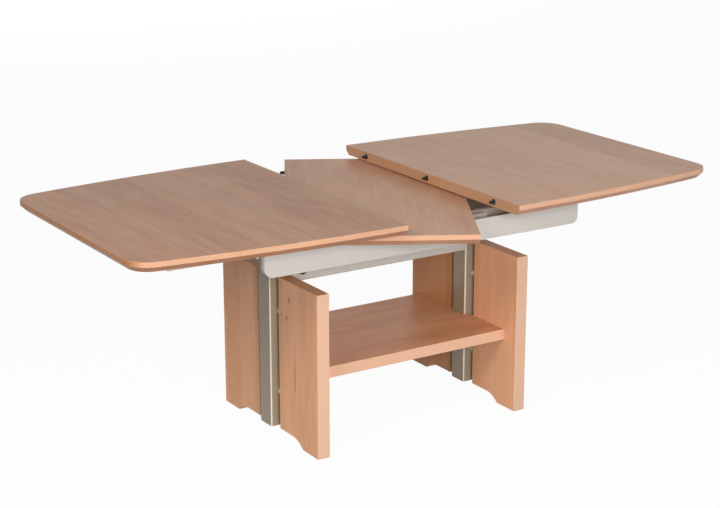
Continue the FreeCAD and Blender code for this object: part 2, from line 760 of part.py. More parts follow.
def aprons():
    """A sheet along each side, with its ends turned in and its lower corners rounded."""
    end, turn = "apron_length / 2", "(apron_length / 2 - apron_sheet)"
    body = prism("apron_sheet_bent", "XY_Plane", [
        ("-" + end, "apron_end_y"), ("-" + turn, "apron_end_y"), ("-" + turn, "apron_in_y"),
        (turn, "apron_in_y"), (turn, "apron_end_y"), (end, "apron_end_y"),
        (end, "frame_depth / 2"), ("-" + end, "frame_depth / 2")],
        "apron_under", "apron_height")
    rounded(body, "apron_bend", lambda edge: runs_along(edge, "z") and flat_at(edge, "y", "frame_depth / 2"))
    rounded(body, "apron_inner_bend", lambda edge: runs_along(edge, "z") and flat_at(edge, "y", "apron_in_y"))
    shape = prism("apron_front_view", "XZ_Plane", [
        ("-" + end, "apron_under"), (end, "apron_under"), (end, "deck_top"), ("-" + end, "deck_top")],
        "-frame_depth / 2 - overrun", "frame_depth + 2 * overrun")
    rounded(shape, "apron_corner", lambda edge: runs_along(edge, "y") and flat_at(edge, "z", "apron_under"))
    rear = node(common("rear_apron", body, shape), "rear_apron")
    node(mirrored("front_apron", rear, "y"), "front_apron")


def guide_rails():
    """A double channel along each side; the lips hold the feet of the runners down."""
    corners = [("rail_in_y", "rail_under"), ("rail_out_y", "rail_under"), ("rail_out_y", "rail_top")]
    lip_under = "rail_top - rail_wall"
    for middle in ("outer_channel_y", "inner_channel_y"):
        slot_out, slot_in = middle + " + channel_slot / 2", middle + " - channel_slot / 2"
        wall_out, wall_in = middle + " + channel_width / 2", middle + " - channel_width / 2"
        corners += [(slot_out, "rail_top"), (slot_out, lip_under),
                    (wall_out, lip_under), (wall_out, "rail_floor"),
                    (wall_in, "rail_floor"), (wall_in, lip_under),
                    (slot_in, lip_under), (slot_in, "rail_top")]
    corners.append(("rail_in_y", "rail_top"))
    body = prism("rail_section", "YZ_Plane", corners, "rail_end_gap - apron_length / 2",
                 "apron_length - 2 * rail_end_gap")
    holes = []
    for number, y in enumerate(("outer_channel_y", "inner_channel_y")):
        through = rod("rail_hole_%d" % number, "screw_radius + seat_gap", "2 * rail_wall",
                      ("column_x", y, "rail_under - rail_wall / 2"))
        sink = rod("rail_sink_%d" % number, "screw_head_radius + seat_gap", "flat_head_height + slide_gap",
                   ("column_x", y, "rail_floor - flat_head_height"))
        holes += two_ways("rail_drill_%d" % number, joined("rail_drill_%d" % number, [through, sink]), "x")
    rear = node(cut("rear_guide_rail", body, holes), "rear_guide_rail")
    node(mirrored("front_guide_rail", rear, "y"), "front_guide_rail")


def centre_bearer():
    """The bar between the cross arms that carries the leaf's pivot, with its flanged bush."""
    section = ("0", "bearer_width", "arm_under", "arm_height")
    tube = box_tube("bearer_tube", "x", section, "bearer_wall", "2 * arm_in_x")
    bore = rod("bearer_bore", "post_radius + running_gap + bush_wall + seat_gap", "arm_height + 2 * overrun",
               ("0", "0", "arm_under - overrun"))
    node(cut("centre_bearer", tube, [bore]), "centre_bearer")
    sleeve = rod("bush_sleeve", "post_radius + running_gap + bush_wall", "arm_height",
                 ("0", "0", "arm_under"))
    flange = rod("bush_flange_ring", "post_flange_radius", "bush_flange", ("0", "0", "rail_under"))
    hole = rod("bush_hole", "post_radius + running_gap", "arm_height + bush_flange + 2 * overrun",
               ("0", "0", "arm_under - overrun"))
    node(cut("pivot_bush", joined("bush_blank", [sleeve, flange]), [hole]), "pivot_bush")


# Alignment pins and sockets

def pin_row(name, x, height):
    """Tapered pins in a board's edge at a place along X, pointing towards -X."""
    row = []
    for place, y in PIN_PLACES:
        plug = rod("%s_plug_%s" % (name, place), "insert_radius", "insert_depth", (x, y, height), "x")
        nose = taper("%s_nose_%s" % (name, place), "pin_base_radius", "pin_tip_radius", "pin_length",
                     (x, y, height), "-x")
        row.append(joined("%s_pin_%s" % (name, place), [plug, nose]))
    return group(name, row)


def socket_row(name, x, height):
    """Sockets in a board's edge at a place along X, open towards -X."""
    row = []
    for place, y in PIN_PLACES:
        plug = rod("%s_plug_%s" % (name, place), "insert_radius", "insert_depth", (x, y, height), "x")
        bore = rod("%s_bore_%s" % (name, place), "socket_radius", "socket_depth + overrun",
                   ("%s - overrun" % x, y, height), "x")
        row.append(cut("%s_socket_%s" % (name, place), plug, [bore]))
    return group(name, row)


def insert_holes(name, x, height):
    """The blind holes that a row of pins or sockets sits in."""
    return [rod("%s_%s" % (name, place), "insert_radius + seat_gap", "insert_depth + overrun",
                ("%s - overrun" % x, y, height), "x") for place, y in PIN_PLACES]


# The two halves of the top: the right one is modelled closed and slid to its rest place

def slid(item, label):
    """Finish a piece of the right half at its rest place."""
    tie(item, ".Placement.Base.x", "rest_slide")
    return node(item, label)


def top_boards():
    half_end, half_mid = "end_width / 2", "top_width / 2"
    body = prism("board_blank", "XY_Plane", [
        ("board_inner_x", "-" + half_mid, "edge_radius"), ("board_reach", "-" + half_end),
        ("board_reach", half_end, "edge_radius"), ("board_inner_x", half_mid)],
        "top_under", "board_thickness")
    rounded(body, "corner_round", lambda edge: runs_along(edge, "z") and flat_at(edge, "x", "board_reach"))
    bevelled(body, "edge_bevel", lambda edge: flat_at(edge, "z", "top_under")
             and not flat_at(edge, "x", "board_inner_x"))
    rounded(body, "edge_ease", lambda edge: flat_at(edge, "z", "table_height")
            and not flat_at(edge, "x", "board_inner_x"))
    holes = insert_holes("board_insert_hole", "board_inner_x", "top_mid")
    for bar, x in BAR_PLACES:
        for place, y in BOARD_SCREW_PLACES:
            holes.append(rod("board_pilot_%s_%s" % (bar, place), "screw_radius + seat_gap",
                             "screw_bite + overrun", (x, y, "top_under - overrun")))
    right = slid(cut("right_top_board", body, holes), "right_top_board")
    node(turned("left_top_board", right), "left_top_board")
    slid(pin_row("right_alignment_pins", "board_inner_x", "top_mid"), "right_alignment_pins")
    sockets = socket_row("right_sockets_closed", "board_inner_x", "top_mid")
    tie(sockets, ".Placement.Base.x", "rest_slide")
    node(turned("left_alignment_sockets", sockets), "left_alignment_sockets")


def crossbars():
    """Box bars across each half: they hold the board above its two runners, clear of the turning leaf."""
    height = "(top_under - deck_top)"
    board_screws, runner_screws = [], []
    for bar, x in BAR_PLACES:
        section = (x, "crossbar_width", "deck_top", height)
        holes = []
        for place, y in BOARD_SCREW_PLACES:
            tag = "%s_%s" % (bar, place)
            holes.append(rod("bar_access_" + tag, "access_radius", "2 * crossbar_wall",
                             (x, y, "deck_top - crossbar_wall / 2")))
            holes.append(rod("bar_hole_" + tag, "screw_radius + seat_gap", "2 * crossbar_wall",
                             (x, y, "top_under - 3 * crossbar_wall / 2")))
            head = rod("board_head_" + tag, "screw_head_radius", "screw_head_height",
                       (x, y, "top_under - crossbar_wall - screw_head_height"))
            shank = rod("board_shank_" + tag, "screw_radius", "crossbar_wall + screw_bite",
                        (x, y, "top_under - crossbar_wall"))
            board_screws.append(joined("board_screw_" + tag, [head, shank]))
        for place, y in RUNNER_PLACES:
            tag = "%s_%s" % (bar, place)
            holes.append(rod("bar_runner_hole_" + tag, "screw_radius + seat_gap", "2 * crossbar_wall",
                             (x, y, "deck_top - crossbar_wall / 2")))
            head = rod("runner_head_" + tag, "screw_head_radius", "screw_head_height",
                       (x, y, "deck_top + crossbar_wall"))
            shank = rod("runner_shank_" + tag, "screw_radius", "crossbar_wall + metal_bite",
                        (x, y, "deck_top - metal_bite"))
            runner_screws.append(joined("runner_screw_" + tag, [head, shank]))
        tube = box_tube("bar_tube_" + bar, "y", section, "crossbar_wall", "crossbar_depth")
        right = slid(cut("right_%s_crossbar" % bar, tube, holes), "right_%s_crossbar" % bar)
        node(turned("left_%s_crossbar" % bar, right), "left_%s_crossbar" % bar)
    right = slid(group("right_board_screws", board_screws), "right_board_screws")
    node(turned("left_board_screws", right), "left_board_screws")
    return runner_screws


def runners():
    """A tee bar in one channel of each rail, with an arm that tapers outwards under the crossbars."""
    for place, y in RUNNER_PLACES:
        guided = "runner_overlap + runner_foot_reach"
        guided_middle = ("(runner_foot_reach - runner_overlap) / 2", y)
        foot = slab("runner_foot_" + place, (guided, "runner_foot_width", "web_under - runner_under"),
                    guided_middle, "runner_under")
        web = slab("runner_web_" + place, (guided, "runner_web", "deck_top - web_under"),
                   guided_middle, "web_under")
        arm = prism("runner_arm_" + place, "XZ_Plane", [
            ("runner_foot_reach", "gear_under"), ("crossbar_start", "gear_under"),
            ("runner_reach", "deck_top - runner_tip"), ("runner_reach", "deck_top"),
            ("runner_foot_reach", "deck_top")], "-(%s) - runner_web / 2" % y, "runner_web")
        holes = [rod("runner_hole_%s_%s" % (place, bar), "screw_radius + seat_gap", "metal_bite + overrun",
                     (x, y, "deck_top - metal_bite")) for bar, x in BAR_PLACES]
        if place == "front":
            outer = "%s - runner_web / 2 - overrun" % y
            holes += [rod("runner_rack_hole_%d" % number, "screw_radius + seat_gap",
                          "runner_web + 2 * overrun", (x, outer, "rack_mid"), "y")
                      for number, x in enumerate(RACK_SCREW_PLACES)]
        right = slid(cut("right_%s_runner" % place, joined("runner_" + place, [foot, web, arm]), holes),
                     "right_%s_runner" % place)
        other = {"front": "rear", "rear": "front"}[place]
        node(turned("left_%s_runner" % other, right), "left_%s_runner" % other)


# Turntable gear and racks

def tooth_half_width(radius):
    """Half the angle that a gear tooth fills at a radius, on involute flanks."""
    angle = math.radians(value("pressure_angle"))
    pitch_radius = value("pitch_radius")
    here = math.acos(pitch_radius * math.cos(angle) / radius)
    at_pitch = (math.pi * value("gear_module") - value("tooth_play") * 2) / (4 * pitch_radius)
    return at_pitch + (math.tan(angle) - angle) - (math.tan(here) - here)


def polar(radius, angle):
    return FreeCAD.Vector(radius * math.cos(angle), radius * math.sin(angle), 0)


def gear_outline():
    """The toothed rim: involute flanks between a root and a tip circle, a tooth centred on the X axis."""
    pitch_radius, module = value("pitch_radius"), value("gear_module")
    root, tip = pitch_radius - module * DEDENDUM_SHARE, pitch_radius + module
    count = int(value("gear_teeth_count"))
    step = 2 * math.pi / count
    edges = []
    for tooth in range(count):
        middle = tooth * step
        spread = {radius: tooth_half_width(radius) for radius in (root, pitch_radius, tip)}
        rising = [polar(radius, middle - spread[radius]) for radius in (root, pitch_radius, tip)]
        falling = [polar(radius, middle + spread[radius]) for radius in (tip, pitch_radius, root)]
        next_root = polar(root, middle + step - spread[root])
        edges.append(Part.Arc(*rising).toShape())
        edges.append(Part.Arc(rising[-1], polar(tip, middle), falling[0]).toShape())
        edges.append(Part.Arc(*falling).toShape())
        edges.append(Part.Arc(falling[-1], polar(root, middle + step / 2), next_root).toShape())
    return Part.Wire(edges)


def turntable_gear():
    """The toothed plate under the leaf, with round windows and screw holes."""
    height = value("gear_face")
    under = value("gear_under")
    plate = Part.Face(gear_outline()).extrude(FreeCAD.Vector(0, 0, height))
    holes = []
    for number in range(GEAR_WINDOW_COUNT):
        angle = 2 * math.pi * number / GEAR_WINDOW_COUNT
        window_at = polar(value("gear_window_ring"), angle)
        screw_at = polar(value("gear_screw_ring"), angle + math.pi / GEAR_WINDOW_COUNT)
        holes.append(Part.makeCylinder(value("gear_window_radius"), height, window_at))
        holes.append(Part.makeCylinder(value("screw_radius + seat_gap"), height, screw_at))
    solid = plate.cut(Part.Compound(holes))
    solid.translate(FreeCAD.Vector(0, 0, under))
    item = doc.addObject("Part::Feature", "turntable_gear")
    item.Shape = solid
    return item


def racks(runner_screws):
    """The right half's rack on its front runner, and the same piece turned for the left half."""
    pitch = math.pi * value("gear_module")
    module, line, back = value("gear_module"), value("pitch_radius"), value("rack_back_y")
    slope = math.tan(math.radians(value("pressure_angle")))
    half = (pitch / 2 - value("tooth_play")) / 2
    root, tip = line + module * DEDENDUM_SHARE, line - module
    quarter = int(value("gear_teeth_count")) // 4
    spare = int(value("rack_spare_teeth_count"))
    first, last = -(quarter + spare), spare
    corners = [FreeCAD.Vector(first * pitch, -back, 0), FreeCAD.Vector(last * pitch, -back, 0),
               FreeCAD.Vector(last * pitch, -root, 0)]
    for tooth in reversed(range(first, last)):
        middle = (tooth + 1 / 2) * pitch
        wide, narrow = half + (root - line) * slope, half - (line - tip) * slope
        corners += [FreeCAD.Vector(middle + wide, -root, 0), FreeCAD.Vector(middle + narrow, -tip, 0),
                    FreeCAD.Vector(middle - narrow, -tip, 0), FreeCAD.Vector(middle - wide, -root, 0)]
    corners.append(FreeCAD.Vector(first * pitch, -root, 0))
    face = Part.Face(Part.makePolygon(corners + corners[:1]))
    under = value("gear_under")
    face.translate(FreeCAD.Vector(0, 0, under))
    blank = doc.addObject("Part::Feature", "rack_blank")
    blank.Shape = face.extrude(FreeCAD.Vector(0, 0, value("deck_top") - under))
    holes = []
    for number, x in enumerate(RACK_SCREW_PLACES):
        outer = "-inner_channel_y - runner_web / 2"
        holes.append(rod("rack_hole_%d" % number, "screw_radius + seat_gap", "rack_screw_bite + overrun",
                         (x, "-rack_back_y - overrun", "rack_mid"), "y"))
        head = rod("rack_head_%d" % number, "screw_head_radius", "screw_head_height",
                   (x, outer + " - screw_head_height", "rack_mid"), "y")
        shank = rod("rack_shank_%d" % number, "screw_radius", "runner_web + rack_screw_bite",
                    (x, outer, "rack_mid"), "y")
        runner_screws.append(joined("rack_screw_%d" % number, [head, shank]))
    right = slid(cut("right_rack", blank, holes), "right_rack")
    node(turned("left_rack", right), "left_rack")
    right = slid(group("right_runner_screws", runner_screws), "right_runner_screws")
    node(turned("left_runner_screws", right), "left_runner_screws")


# The leaf: modelled as it lies when the table is open, and turned back to its rest place

def turned_back(item, label):
    """Finish a piece of the leaf at its rest place."""
    tie(item, ".Placement.Rotation.Angle", "(rest_turn_share - 1) * 90")
    return node(item, label)


def leaf():
    half_x, half_y = "leaf_width / 2", "top_width / 2"
    body = prism("leaf_blank", "XY_Plane", [
        ("-" + half_x, "-" + half_y, "bow_radius"), (half_x, "-" + half_y), (half_x, half_y, "bow_radius"),
        ("-" + half_x, half_y)], "leaf_under", "board_thickness")
    is_long_side = lambda edge: flat_at(edge, "x", half_x) or flat_at(edge, "x", "-" + half_x)
    bevelled(body, "edge_bevel", lambda edge: flat_at(edge, "z", "leaf_under") and not is_long_side(edge))
    rounded(body, "edge_ease", lambda edge: flat_at(edge, "z", "leaf_top") and not is_long_side(edge))
    holes = insert_holes("leaf_pin_hole", "-leaf_width / 2", "leaf_mid")
    holes += [turned(hole.Name + "_turned", hole) for hole in holes]
    screws = []
    for number in range(GEAR_WINDOW_COUNT):
        turn = "(360 / %d * (%d + 1 / 2))" % (GEAR_WINDOW_COUNT, number)
        x, y = "gear_screw_ring * cos(%s)" % turn, "gear_screw_ring * sin(%s)" % turn
        holes.append(rod("leaf_pilot_%d" % number, "screw_radius + seat_gap", "screw_bite + overrun",
                         (x, y, "leaf_under - overrun")))
        head = rod("gear_head_%d" % number, "screw_head_radius", "screw_head_height",
                   (x, y, "gear_under - screw_head_height"))
        shank = rod("gear_shank_%d" % number, "screw_radius", "gear_face + screw_bite", (x, y, "gear_under"))
        screws.append(joined("gear_screw_%d" % number, [head, shank]))
    turned_back(cut("leaf_board", body, holes), "leaf_board")
    turned_back(pin_row("leaf_alignment_pins", "-leaf_width / 2", "leaf_mid"), "leaf_alignment_pins")
    sockets = turned("leaf_sockets_open", socket_row("leaf_socket_row", "-leaf_width / 2", "leaf_mid"))
    turned_back(group("leaf_alignment_sockets", [sockets]), "leaf_alignment_sockets")
    turned_back(turntable_gear(), "turntable_gear")
    turned_back(group("gear_screws", screws), "gear_screws")
    tail_under = "arm_under - slide_gap - collar_height - post_tail"
    flange = rod("post_flange", "post_flange_radius", "gear_under - bush_top - running_gap",
                 ("0", "0", "bush_top + running_gap"))
    shaft = rod("post_shaft", "post_radius", "gear_under - (%s)" % tail_under, ("0", "0", tail_under))
    turned_back(joined("pivot_post", [flange, shaft]), "pivot_post")
    ring = rod("collar_ring", "collar_radius", "collar_height",
               ("0", "0", "arm_under - slide_gap - collar_height"))
    bore = rod("collar_ring_bore", "post_radius + running_gap", "collar_height + 2 * overrun",
               ("0", "0", "arm_under - slide_gap - collar_height - overrun"))
    turned_back(cut("retaining_collar", ring, [bore]), "retaining_collar")


def build():
    fill_sheet()
    leg_panels()
    panel_fittings()
    shelf()
    outer_columns()
    column_fittings()
    gas_springs()
    stretcher_beam()
    release_lever()
    inner_columns()
    head_plates_and_arms()
    aprons()
    guide_rails()
    centre_bearer()
    top_boards()
    runner_screws = crossbars()
    runners()
    racks(runner_screws)
    leaf()
    doc.recompute()


def check():
    """Stop before anything is written if an object failed or a sub-part is not a sound shape."""
    for item in doc.Objects:
        if "Invalid" in item.State or "Error" in item.State:
            raise RuntimeError("%s is %s" % (item.Label, item.State))
    for item in nodes:
        if item.Shape.isNull() or not item.Shape.isValid() or not item.Shape.Solids:
            raise RuntimeError("%s has no sound shape" % item.Label)


def write():
    os.makedirs("parts", exist_ok=True)
    for item in nodes:
        item.Shape.exportStep("parts/%s.step" % item.Label)


build()
check()
write()
print("%d sub-parts written" % len(nodes))
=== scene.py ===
"""The convertible table as it looks: beech boards on a painted lifting frame, seen half open."""

import json
import math

import bmesh
import bpy
from mathutils import Color, Matrix, Vector

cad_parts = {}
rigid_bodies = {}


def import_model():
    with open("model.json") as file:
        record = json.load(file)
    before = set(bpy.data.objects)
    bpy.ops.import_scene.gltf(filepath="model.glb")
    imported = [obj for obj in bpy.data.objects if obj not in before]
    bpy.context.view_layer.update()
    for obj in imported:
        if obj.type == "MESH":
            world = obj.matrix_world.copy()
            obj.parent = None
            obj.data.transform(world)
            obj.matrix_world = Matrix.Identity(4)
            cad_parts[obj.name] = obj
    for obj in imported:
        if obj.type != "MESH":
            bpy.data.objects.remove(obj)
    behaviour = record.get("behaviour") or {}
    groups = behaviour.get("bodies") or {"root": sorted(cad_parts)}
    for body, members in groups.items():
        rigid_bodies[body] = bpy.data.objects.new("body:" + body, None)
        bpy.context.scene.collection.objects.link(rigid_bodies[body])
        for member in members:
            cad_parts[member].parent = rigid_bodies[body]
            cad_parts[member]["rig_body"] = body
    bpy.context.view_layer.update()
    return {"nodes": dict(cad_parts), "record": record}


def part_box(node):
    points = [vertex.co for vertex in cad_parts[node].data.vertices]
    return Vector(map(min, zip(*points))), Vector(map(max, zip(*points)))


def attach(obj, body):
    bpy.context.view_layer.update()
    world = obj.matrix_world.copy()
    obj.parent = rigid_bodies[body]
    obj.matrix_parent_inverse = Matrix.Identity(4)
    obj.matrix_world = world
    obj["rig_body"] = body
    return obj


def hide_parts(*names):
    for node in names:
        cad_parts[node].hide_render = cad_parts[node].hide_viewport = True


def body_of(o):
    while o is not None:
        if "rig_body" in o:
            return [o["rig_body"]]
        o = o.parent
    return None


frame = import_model()
cad = frame["nodes"]
slot_of = {part["node"]: part["material_slot"] for part in frame["record"]["subparts"]}

# Camera of the photograph: place in metres, turns in degrees, lens and film width in millimetres
CAMERA_PLACE = (-1.9206, -2.9582, 1.3823)
CAMERA_TILT = 73.627
CAMERA_YAW = -32.497
CAMERA_LENS = 85.86
CAMERA_FILM = 36.0

# Studio: floor side and softboxes in metres, powers in watts; glow, grey and ambient are shares of white
FLOOR_SIDE = 60.0
FLOOR_GLOW = 0.95
FLOOR_GREY = 0.25
FLOOR_ROUGHNESS = 0.9
AMBIENT = 0.125
SOFTBOXES = {
    "front_key": {"place": (-1.6, -3.7, 1.4), "width": 1.4, "height": 1.4, "watts": 139.0},
    "left_high": {"place": (-3.0, -1.5, 2.4), "width": 1.2, "height": 1.2, "watts": 54.0},
    "right_fill": {"place": (1.1, -3.6, 1.35), "width": 1.8, "height": 1.8, "watts": 25.0},
    "rear_strip": {"place": (2.3, 7.5, 0.27), "width": 3.4, "height": 0.46, "watts": 560.0},
}
SOFTBOX_TARGET = (0.0, 0.0, 0.35)

# The leaf lies turned back by this angle at rest, in degrees
LEAF_TURN = -30.0


# Small helpers for shader graphs

DISPLAY_STEPS = 255


def tone(red, green, blue):
    """A colour in display steps from 0 to 255, as a shader socket takes it."""
    seen = Color((red / DISPLAY_STEPS, green / DISPLAY_STEPS, blue / DISPLAY_STEPS))
    return (*seen.from_srgb_to_scene_linear(), 1.0)


def grey(level):
    return (level, level, level, 1.0)


def even(size):
    """The same cell size each way."""
    return (size, size, size)


class Graph:
    """One material's node tree, with short calls to add nodes and join them."""

    def __init__(self, name):
        self.material = bpy.data.materials.new(name)
        self.material.use_nodes = True
        self.tree = self.material.node_tree
        self.surface = self.tree.nodes["Principled BSDF"]
        self.place = self.add("TexCoord")

    def add(self, kind, inputs=None, **settings):
        """A new node with its settings, and with numbers or other nodes' outputs on its inputs."""
        node = self.tree.nodes.new("ShaderNode" + kind)
        for key, setting in settings.items():
            setattr(node, key, setting)
        for key, item in (inputs or {}).items():
            self.feed(node.inputs[key], item)
        return node

    def feed(self, socket, item):
        """A number, a colour or another node's output on a socket."""
        if isinstance(item, bpy.types.NodeSocket):
            self.tree.links.new(item, socket)
        else:
            socket.default_value = item

    def give(self, **values):
        """The same on the surface shader, by socket name with spaces as underscores."""
        for name, item in values.items():
            self.feed(self.surface.inputs[name.replace("_", " ")], item)

    def calc(self, operation, *items):
        """One step of arithmetic on numbers or outputs."""
        inputs = dict(enumerate(items))
        return self.add("Math", inputs, operation=operation).outputs[0]

    def vary(self, middle, *swings):
        """A level about a middle one, moved by patterns from 0 to 1, each with its whole spread."""
        level = middle - sum(spread for pattern, spread in swings) / 2
        for pattern, spread in swings:
            level = self.calc("MULTIPLY_ADD", pattern, spread, level)
        return level

    def tint(self, colour, level):
        """A colour made darker or lighter by a level about 1."""
        return self.add("VectorMath", {0: colour[:3], "Scale": level}, operation="SCALE").outputs[0]

    def blend(self, factor, first, second):
        """The second colour laid over the first."""
        node = self.add("Mix", data_type="RGBA")
        for name, item in (("Factor_Float", factor), ("A_Color", first), ("B_Color", second)):
            socket = next(socket for socket in node.inputs if socket.identifier == name)
            self.feed(socket, item)
        return next(socket for socket in node.outputs if socket.identifier == "Result_Color")

    def ramp(self, factor, stops):
        """Colours along a scale from 0 to 1, each with its place there."""
        node = self.add("ValToRGB", {"Fac": factor})
        band = node.color_ramp
        for position, colour in stops[1:-1]:
            band.elements.new(position)
        for element, (position, colour) in zip(band.elements, stops):
            element.position = position
            element.color = colour
        return node.outputs["Color"]

    def fade(self, factor, span):
        """Black below the span, white above it and an even rise between."""
        start, end = span
        return self.ramp(factor, [(start, grey(0.0)), (end, grey(1.0))])

    def cells(self, sizes, turn=0.0, shift=(0.0, 0.0, 0.0), source=None):
        """Object coordinates, or a source's, counted in cells of the given sizes and turned about Z."""
        return self.add("Mapping", {
            "Vector": source or self.place.outputs["Object"], "Location": shift,
            "Rotation": (0.0, 0.0, math.radians(turn)), "Scale": sizes}, vector_type="TEXTURE").outputs[0]

    def noise(self, vector, detail=3.0, roughness=0.5, distortion=0.0):
        """A cloudy pattern from 0 to 1 whose swells are about a cell in size."""
        return self.add("TexNoise", {
            "Vector": vector, "Scale": 1.0, "Detail": detail, "Roughness": roughness,
            "Distortion": distortion}).outputs["Fac"]

    def normal(self):
        """The X, Y and Z parts of the surface's direction."""
        return self.add("SeparateXYZ", {"Vector": self.place.outputs["Normal"]}).outputs

    def bump(self, height, strength, depth):
        """Fine relief, with its depth in metres."""
        node = self.add("Bump", {"Height": height, "Strength": strength, "Distance": depth})
        self.give(Normal=node.outputs["Normal"])


# Wood: tones from dark over middle to light, then single tones

AXES = "xyz"
BEECH_TONES = (tone(157, 105, 73), tone(185, 135, 103), tone(201, 158, 128))
PANEL_TONES = (tone(201, 137, 93), tone(236, 176, 135), tone(252, 200, 162))
SHELF_TONES = (tone(184, 119, 81), tone(216, 155, 115), tone(232, 180, 141))
# Paler tones for the right top: a painted sheen, where light glances off that half
SHEEN_PALED_TONES = (tone(188, 136, 103), tone(219, 170, 139), tone(234, 193, 164))
LEAF_TONES = (tone(176, 122, 91), tone(208, 157, 124), tone(223, 181, 150))
# Darker tones as painted shade, for the right rear panel deep in the table's shadow
SHADED_PANEL_TONES = (tone(162, 107, 69), tone(194, 138, 96), tone(212, 162, 122))
GOLDEN_TONE = tone(212, 160, 114)
MARK_TONE = tone(98, 58, 36)
LIPPING_TONE = tone(208, 162, 132)
# Painted shade on the boards' end sticks, which the light barely reaches
OUTER_END_SHADE_TONE = tone(161, 96, 28)
INNER_END_SHADE_TONE = tone(168, 125, 88)
# Painted shade on the bevel that faces down under the boards' edges
BEVEL_SHADE_TONE = tone(166, 103, 66)
# Paler narrow faces: partly the wood's own edge tone, partly a painted sheen
EDGE_AND_SHEEN_TONE = tone(210, 175, 153)
SHELF_EDGE_AND_SHEEN_TONE = tone(222, 182, 157)
END_TONE = tone(212, 156, 114)

# Layers of the figure: cell length along the grain and width across it in metres, and the make of the noise
FIGURE = {
    "broad": {"length": 0.20, "width": 0.07, "roughness": 0.55, "distortion": 0.7},
    "strand": {"length": 0.09, "width": 0.011, "roughness": 0.6, "distortion": 0.5},
    "fibre": {"length": 0.045, "width": 0.0011, "roughness": 0.6},
    "fleck": {"length": 0.0036, "width": 0.0007, "detail": 1.0, "roughness": 0.4},
    "streak": {"length": 0.055, "width": 0.0034, "detail": 2.0, "roughness": 0.6, "distortion": 0.3},
    "cluster": {"length": 0.16, "width": 0.06, "shift": (0.4, 0.9, 1.3), "detail": 1.0},
    "arches": {"length": 0.42, "width": 0.05, "shift": (2.1, 0.2, 0.8), "detail": 1.0},
    "warmth": {"length": 0.3, "width": 0.07, "shift": (1.7, 2.3, 0.6), "detail": 2.0},
}
RING_COUNT = 9.0

# Staves: widths in metres, start of their random draws, and how far in metres a draw shifts a figure
TOP_STAVE = 0.145
SHELF_STAVE = 0.085
PANEL_STAVE = 0.062
DOWEL_STAVE = 0.02
STAVE_START = 0.37
STAVE_SHIFT = (3.0, 3.0, 3.0)

# Shade from 0, dark, to 1, light: its middle, how far each layer swings it, and where the three tones lie
MIDDLE_SHADE = 0.5
SHADE_SPREADS = {"stave": 0.26, "broad": 0.30, "strand": 0.15, "rings": 0.12, "fibre": 0.16}
TONE_PLACES = (0.15, 0.5, 0.85)

# Where patches, streaks and flecks fade in along their layers, and how strongly they show
GOLDEN_SPAN = (0.45, 0.65)
GOLDEN_SHARE = 0.30
STREAK_SPAN = (0.56, 0.70)
CLUSTER_SPAN = (0.48, 0.60)
FLECK_SPAN = (0.60, 0.70)
FLECK_SHARE = 0.16
PORE_SHARE = 0.4

# Edges: their share of the board's middle tone with its swing by the shade, and the parts of a face's
# direction by which flat faces, the outer stick, the bevel below and the narrow faces are told apart;
# the sticks at the ends and the bevel below get painted shade
EDGE_SHARE = 0.25
EDGE_SPREAD = -0.7
FLAT_FROM = 0.95
OUTER_SPAN = (0.60, 0.95)
BEVEL_SLOPE = -0.707
BEVEL_REACH = 0.25
NARROW_FROM = 0.7

# Lacquer: roughness and its spread, specular level, and the relief of fibres with the flecks sunk in
LACQUER_ROUGHNESS = 0.35
LACQUER_SPREAD = 0.14
LACQUER_SPECULAR = 0.12
FLECK_HEIGHT = -0.5
WOOD_RELIEF = {"strength": 0.25, "depth": 0.0002}


def along(grain, length, width):
    """Cell sizes with the length along the grain and the width across it."""
    return tuple(length if axis == grain else width for axis in AXES)


def figure(graph, grain, source, length, width, shift=(0.0, 0.0, 0.0), **make):
    """One layer of the wood's figure."""
    return graph.noise(graph.cells(along(grain, length, width), shift=shift, source=source), **make)


def stave_draw(graph, turn, axis, width, seed):
    """Each stave's random draw, and coordinates shifted by it so that no two staves have the same figure."""
    turned = graph.cells(even(1.0), turn)
    across = graph.add("SeparateXYZ", {"Vector": turned}).outputs[AXES.index(axis)]
    number = graph.calc("FLOOR", graph.calc("DIVIDE", across, width))
    ticket = graph.calc("ADD", number, seed + STAVE_START)
    draw = graph.add("TexWhiteNoise", {"W": ticket}, noise_dimensions="1D").outputs
    shift = graph.add("VectorMath", {0: draw["Color"], 1: STAVE_SHIFT}, operation="MULTIPLY")
    own = graph.add("VectorMath", {0: turned, 1: shift.outputs[0]}, operation="ADD")
    return draw["Value"], own.outputs[0]


def planed_face(graph, layers, shade, flecks, tones, streaky):
    """The wood's colour on a planed face, with golden patches, clusters of dark streaks and ray flecks."""
    dark = tones[0]
    colour = graph.ramp(shade, list(zip(TONE_PLACES, tones)))
    golden = graph.fade(layers["warmth"], GOLDEN_SPAN)
    colour = graph.blend(graph.calc("MULTIPLY", golden, GOLDEN_SHARE), colour, GOLDEN_TONE)
    streaks = graph.calc("MULTIPLY", graph.fade(layers["streak"], STREAK_SPAN),
                         graph.fade(layers["cluster"], CLUSTER_SPAN))
    colour = graph.blend(graph.calc("MULTIPLY", streaks, streaky), colour, dark)
    return graph.blend(graph.calc("MULTIPLY", flecks, FLECK_SHARE), colour, dark)


def marked(graph, colour, marks):
    """The colour with knots and dark strands, each with its place, reach each way and depth of tone."""
    for place, reach, depth in marks:
        spot = graph.add("TexGradient", {"Vector": graph.cells(reach, shift=place)},
                         gradient_type="QUADRATIC_SPHERE").outputs["Fac"]
        colour = graph.blend(graph.calc("MULTIPLY", spot, depth), colour, MARK_TONE)
    return colour


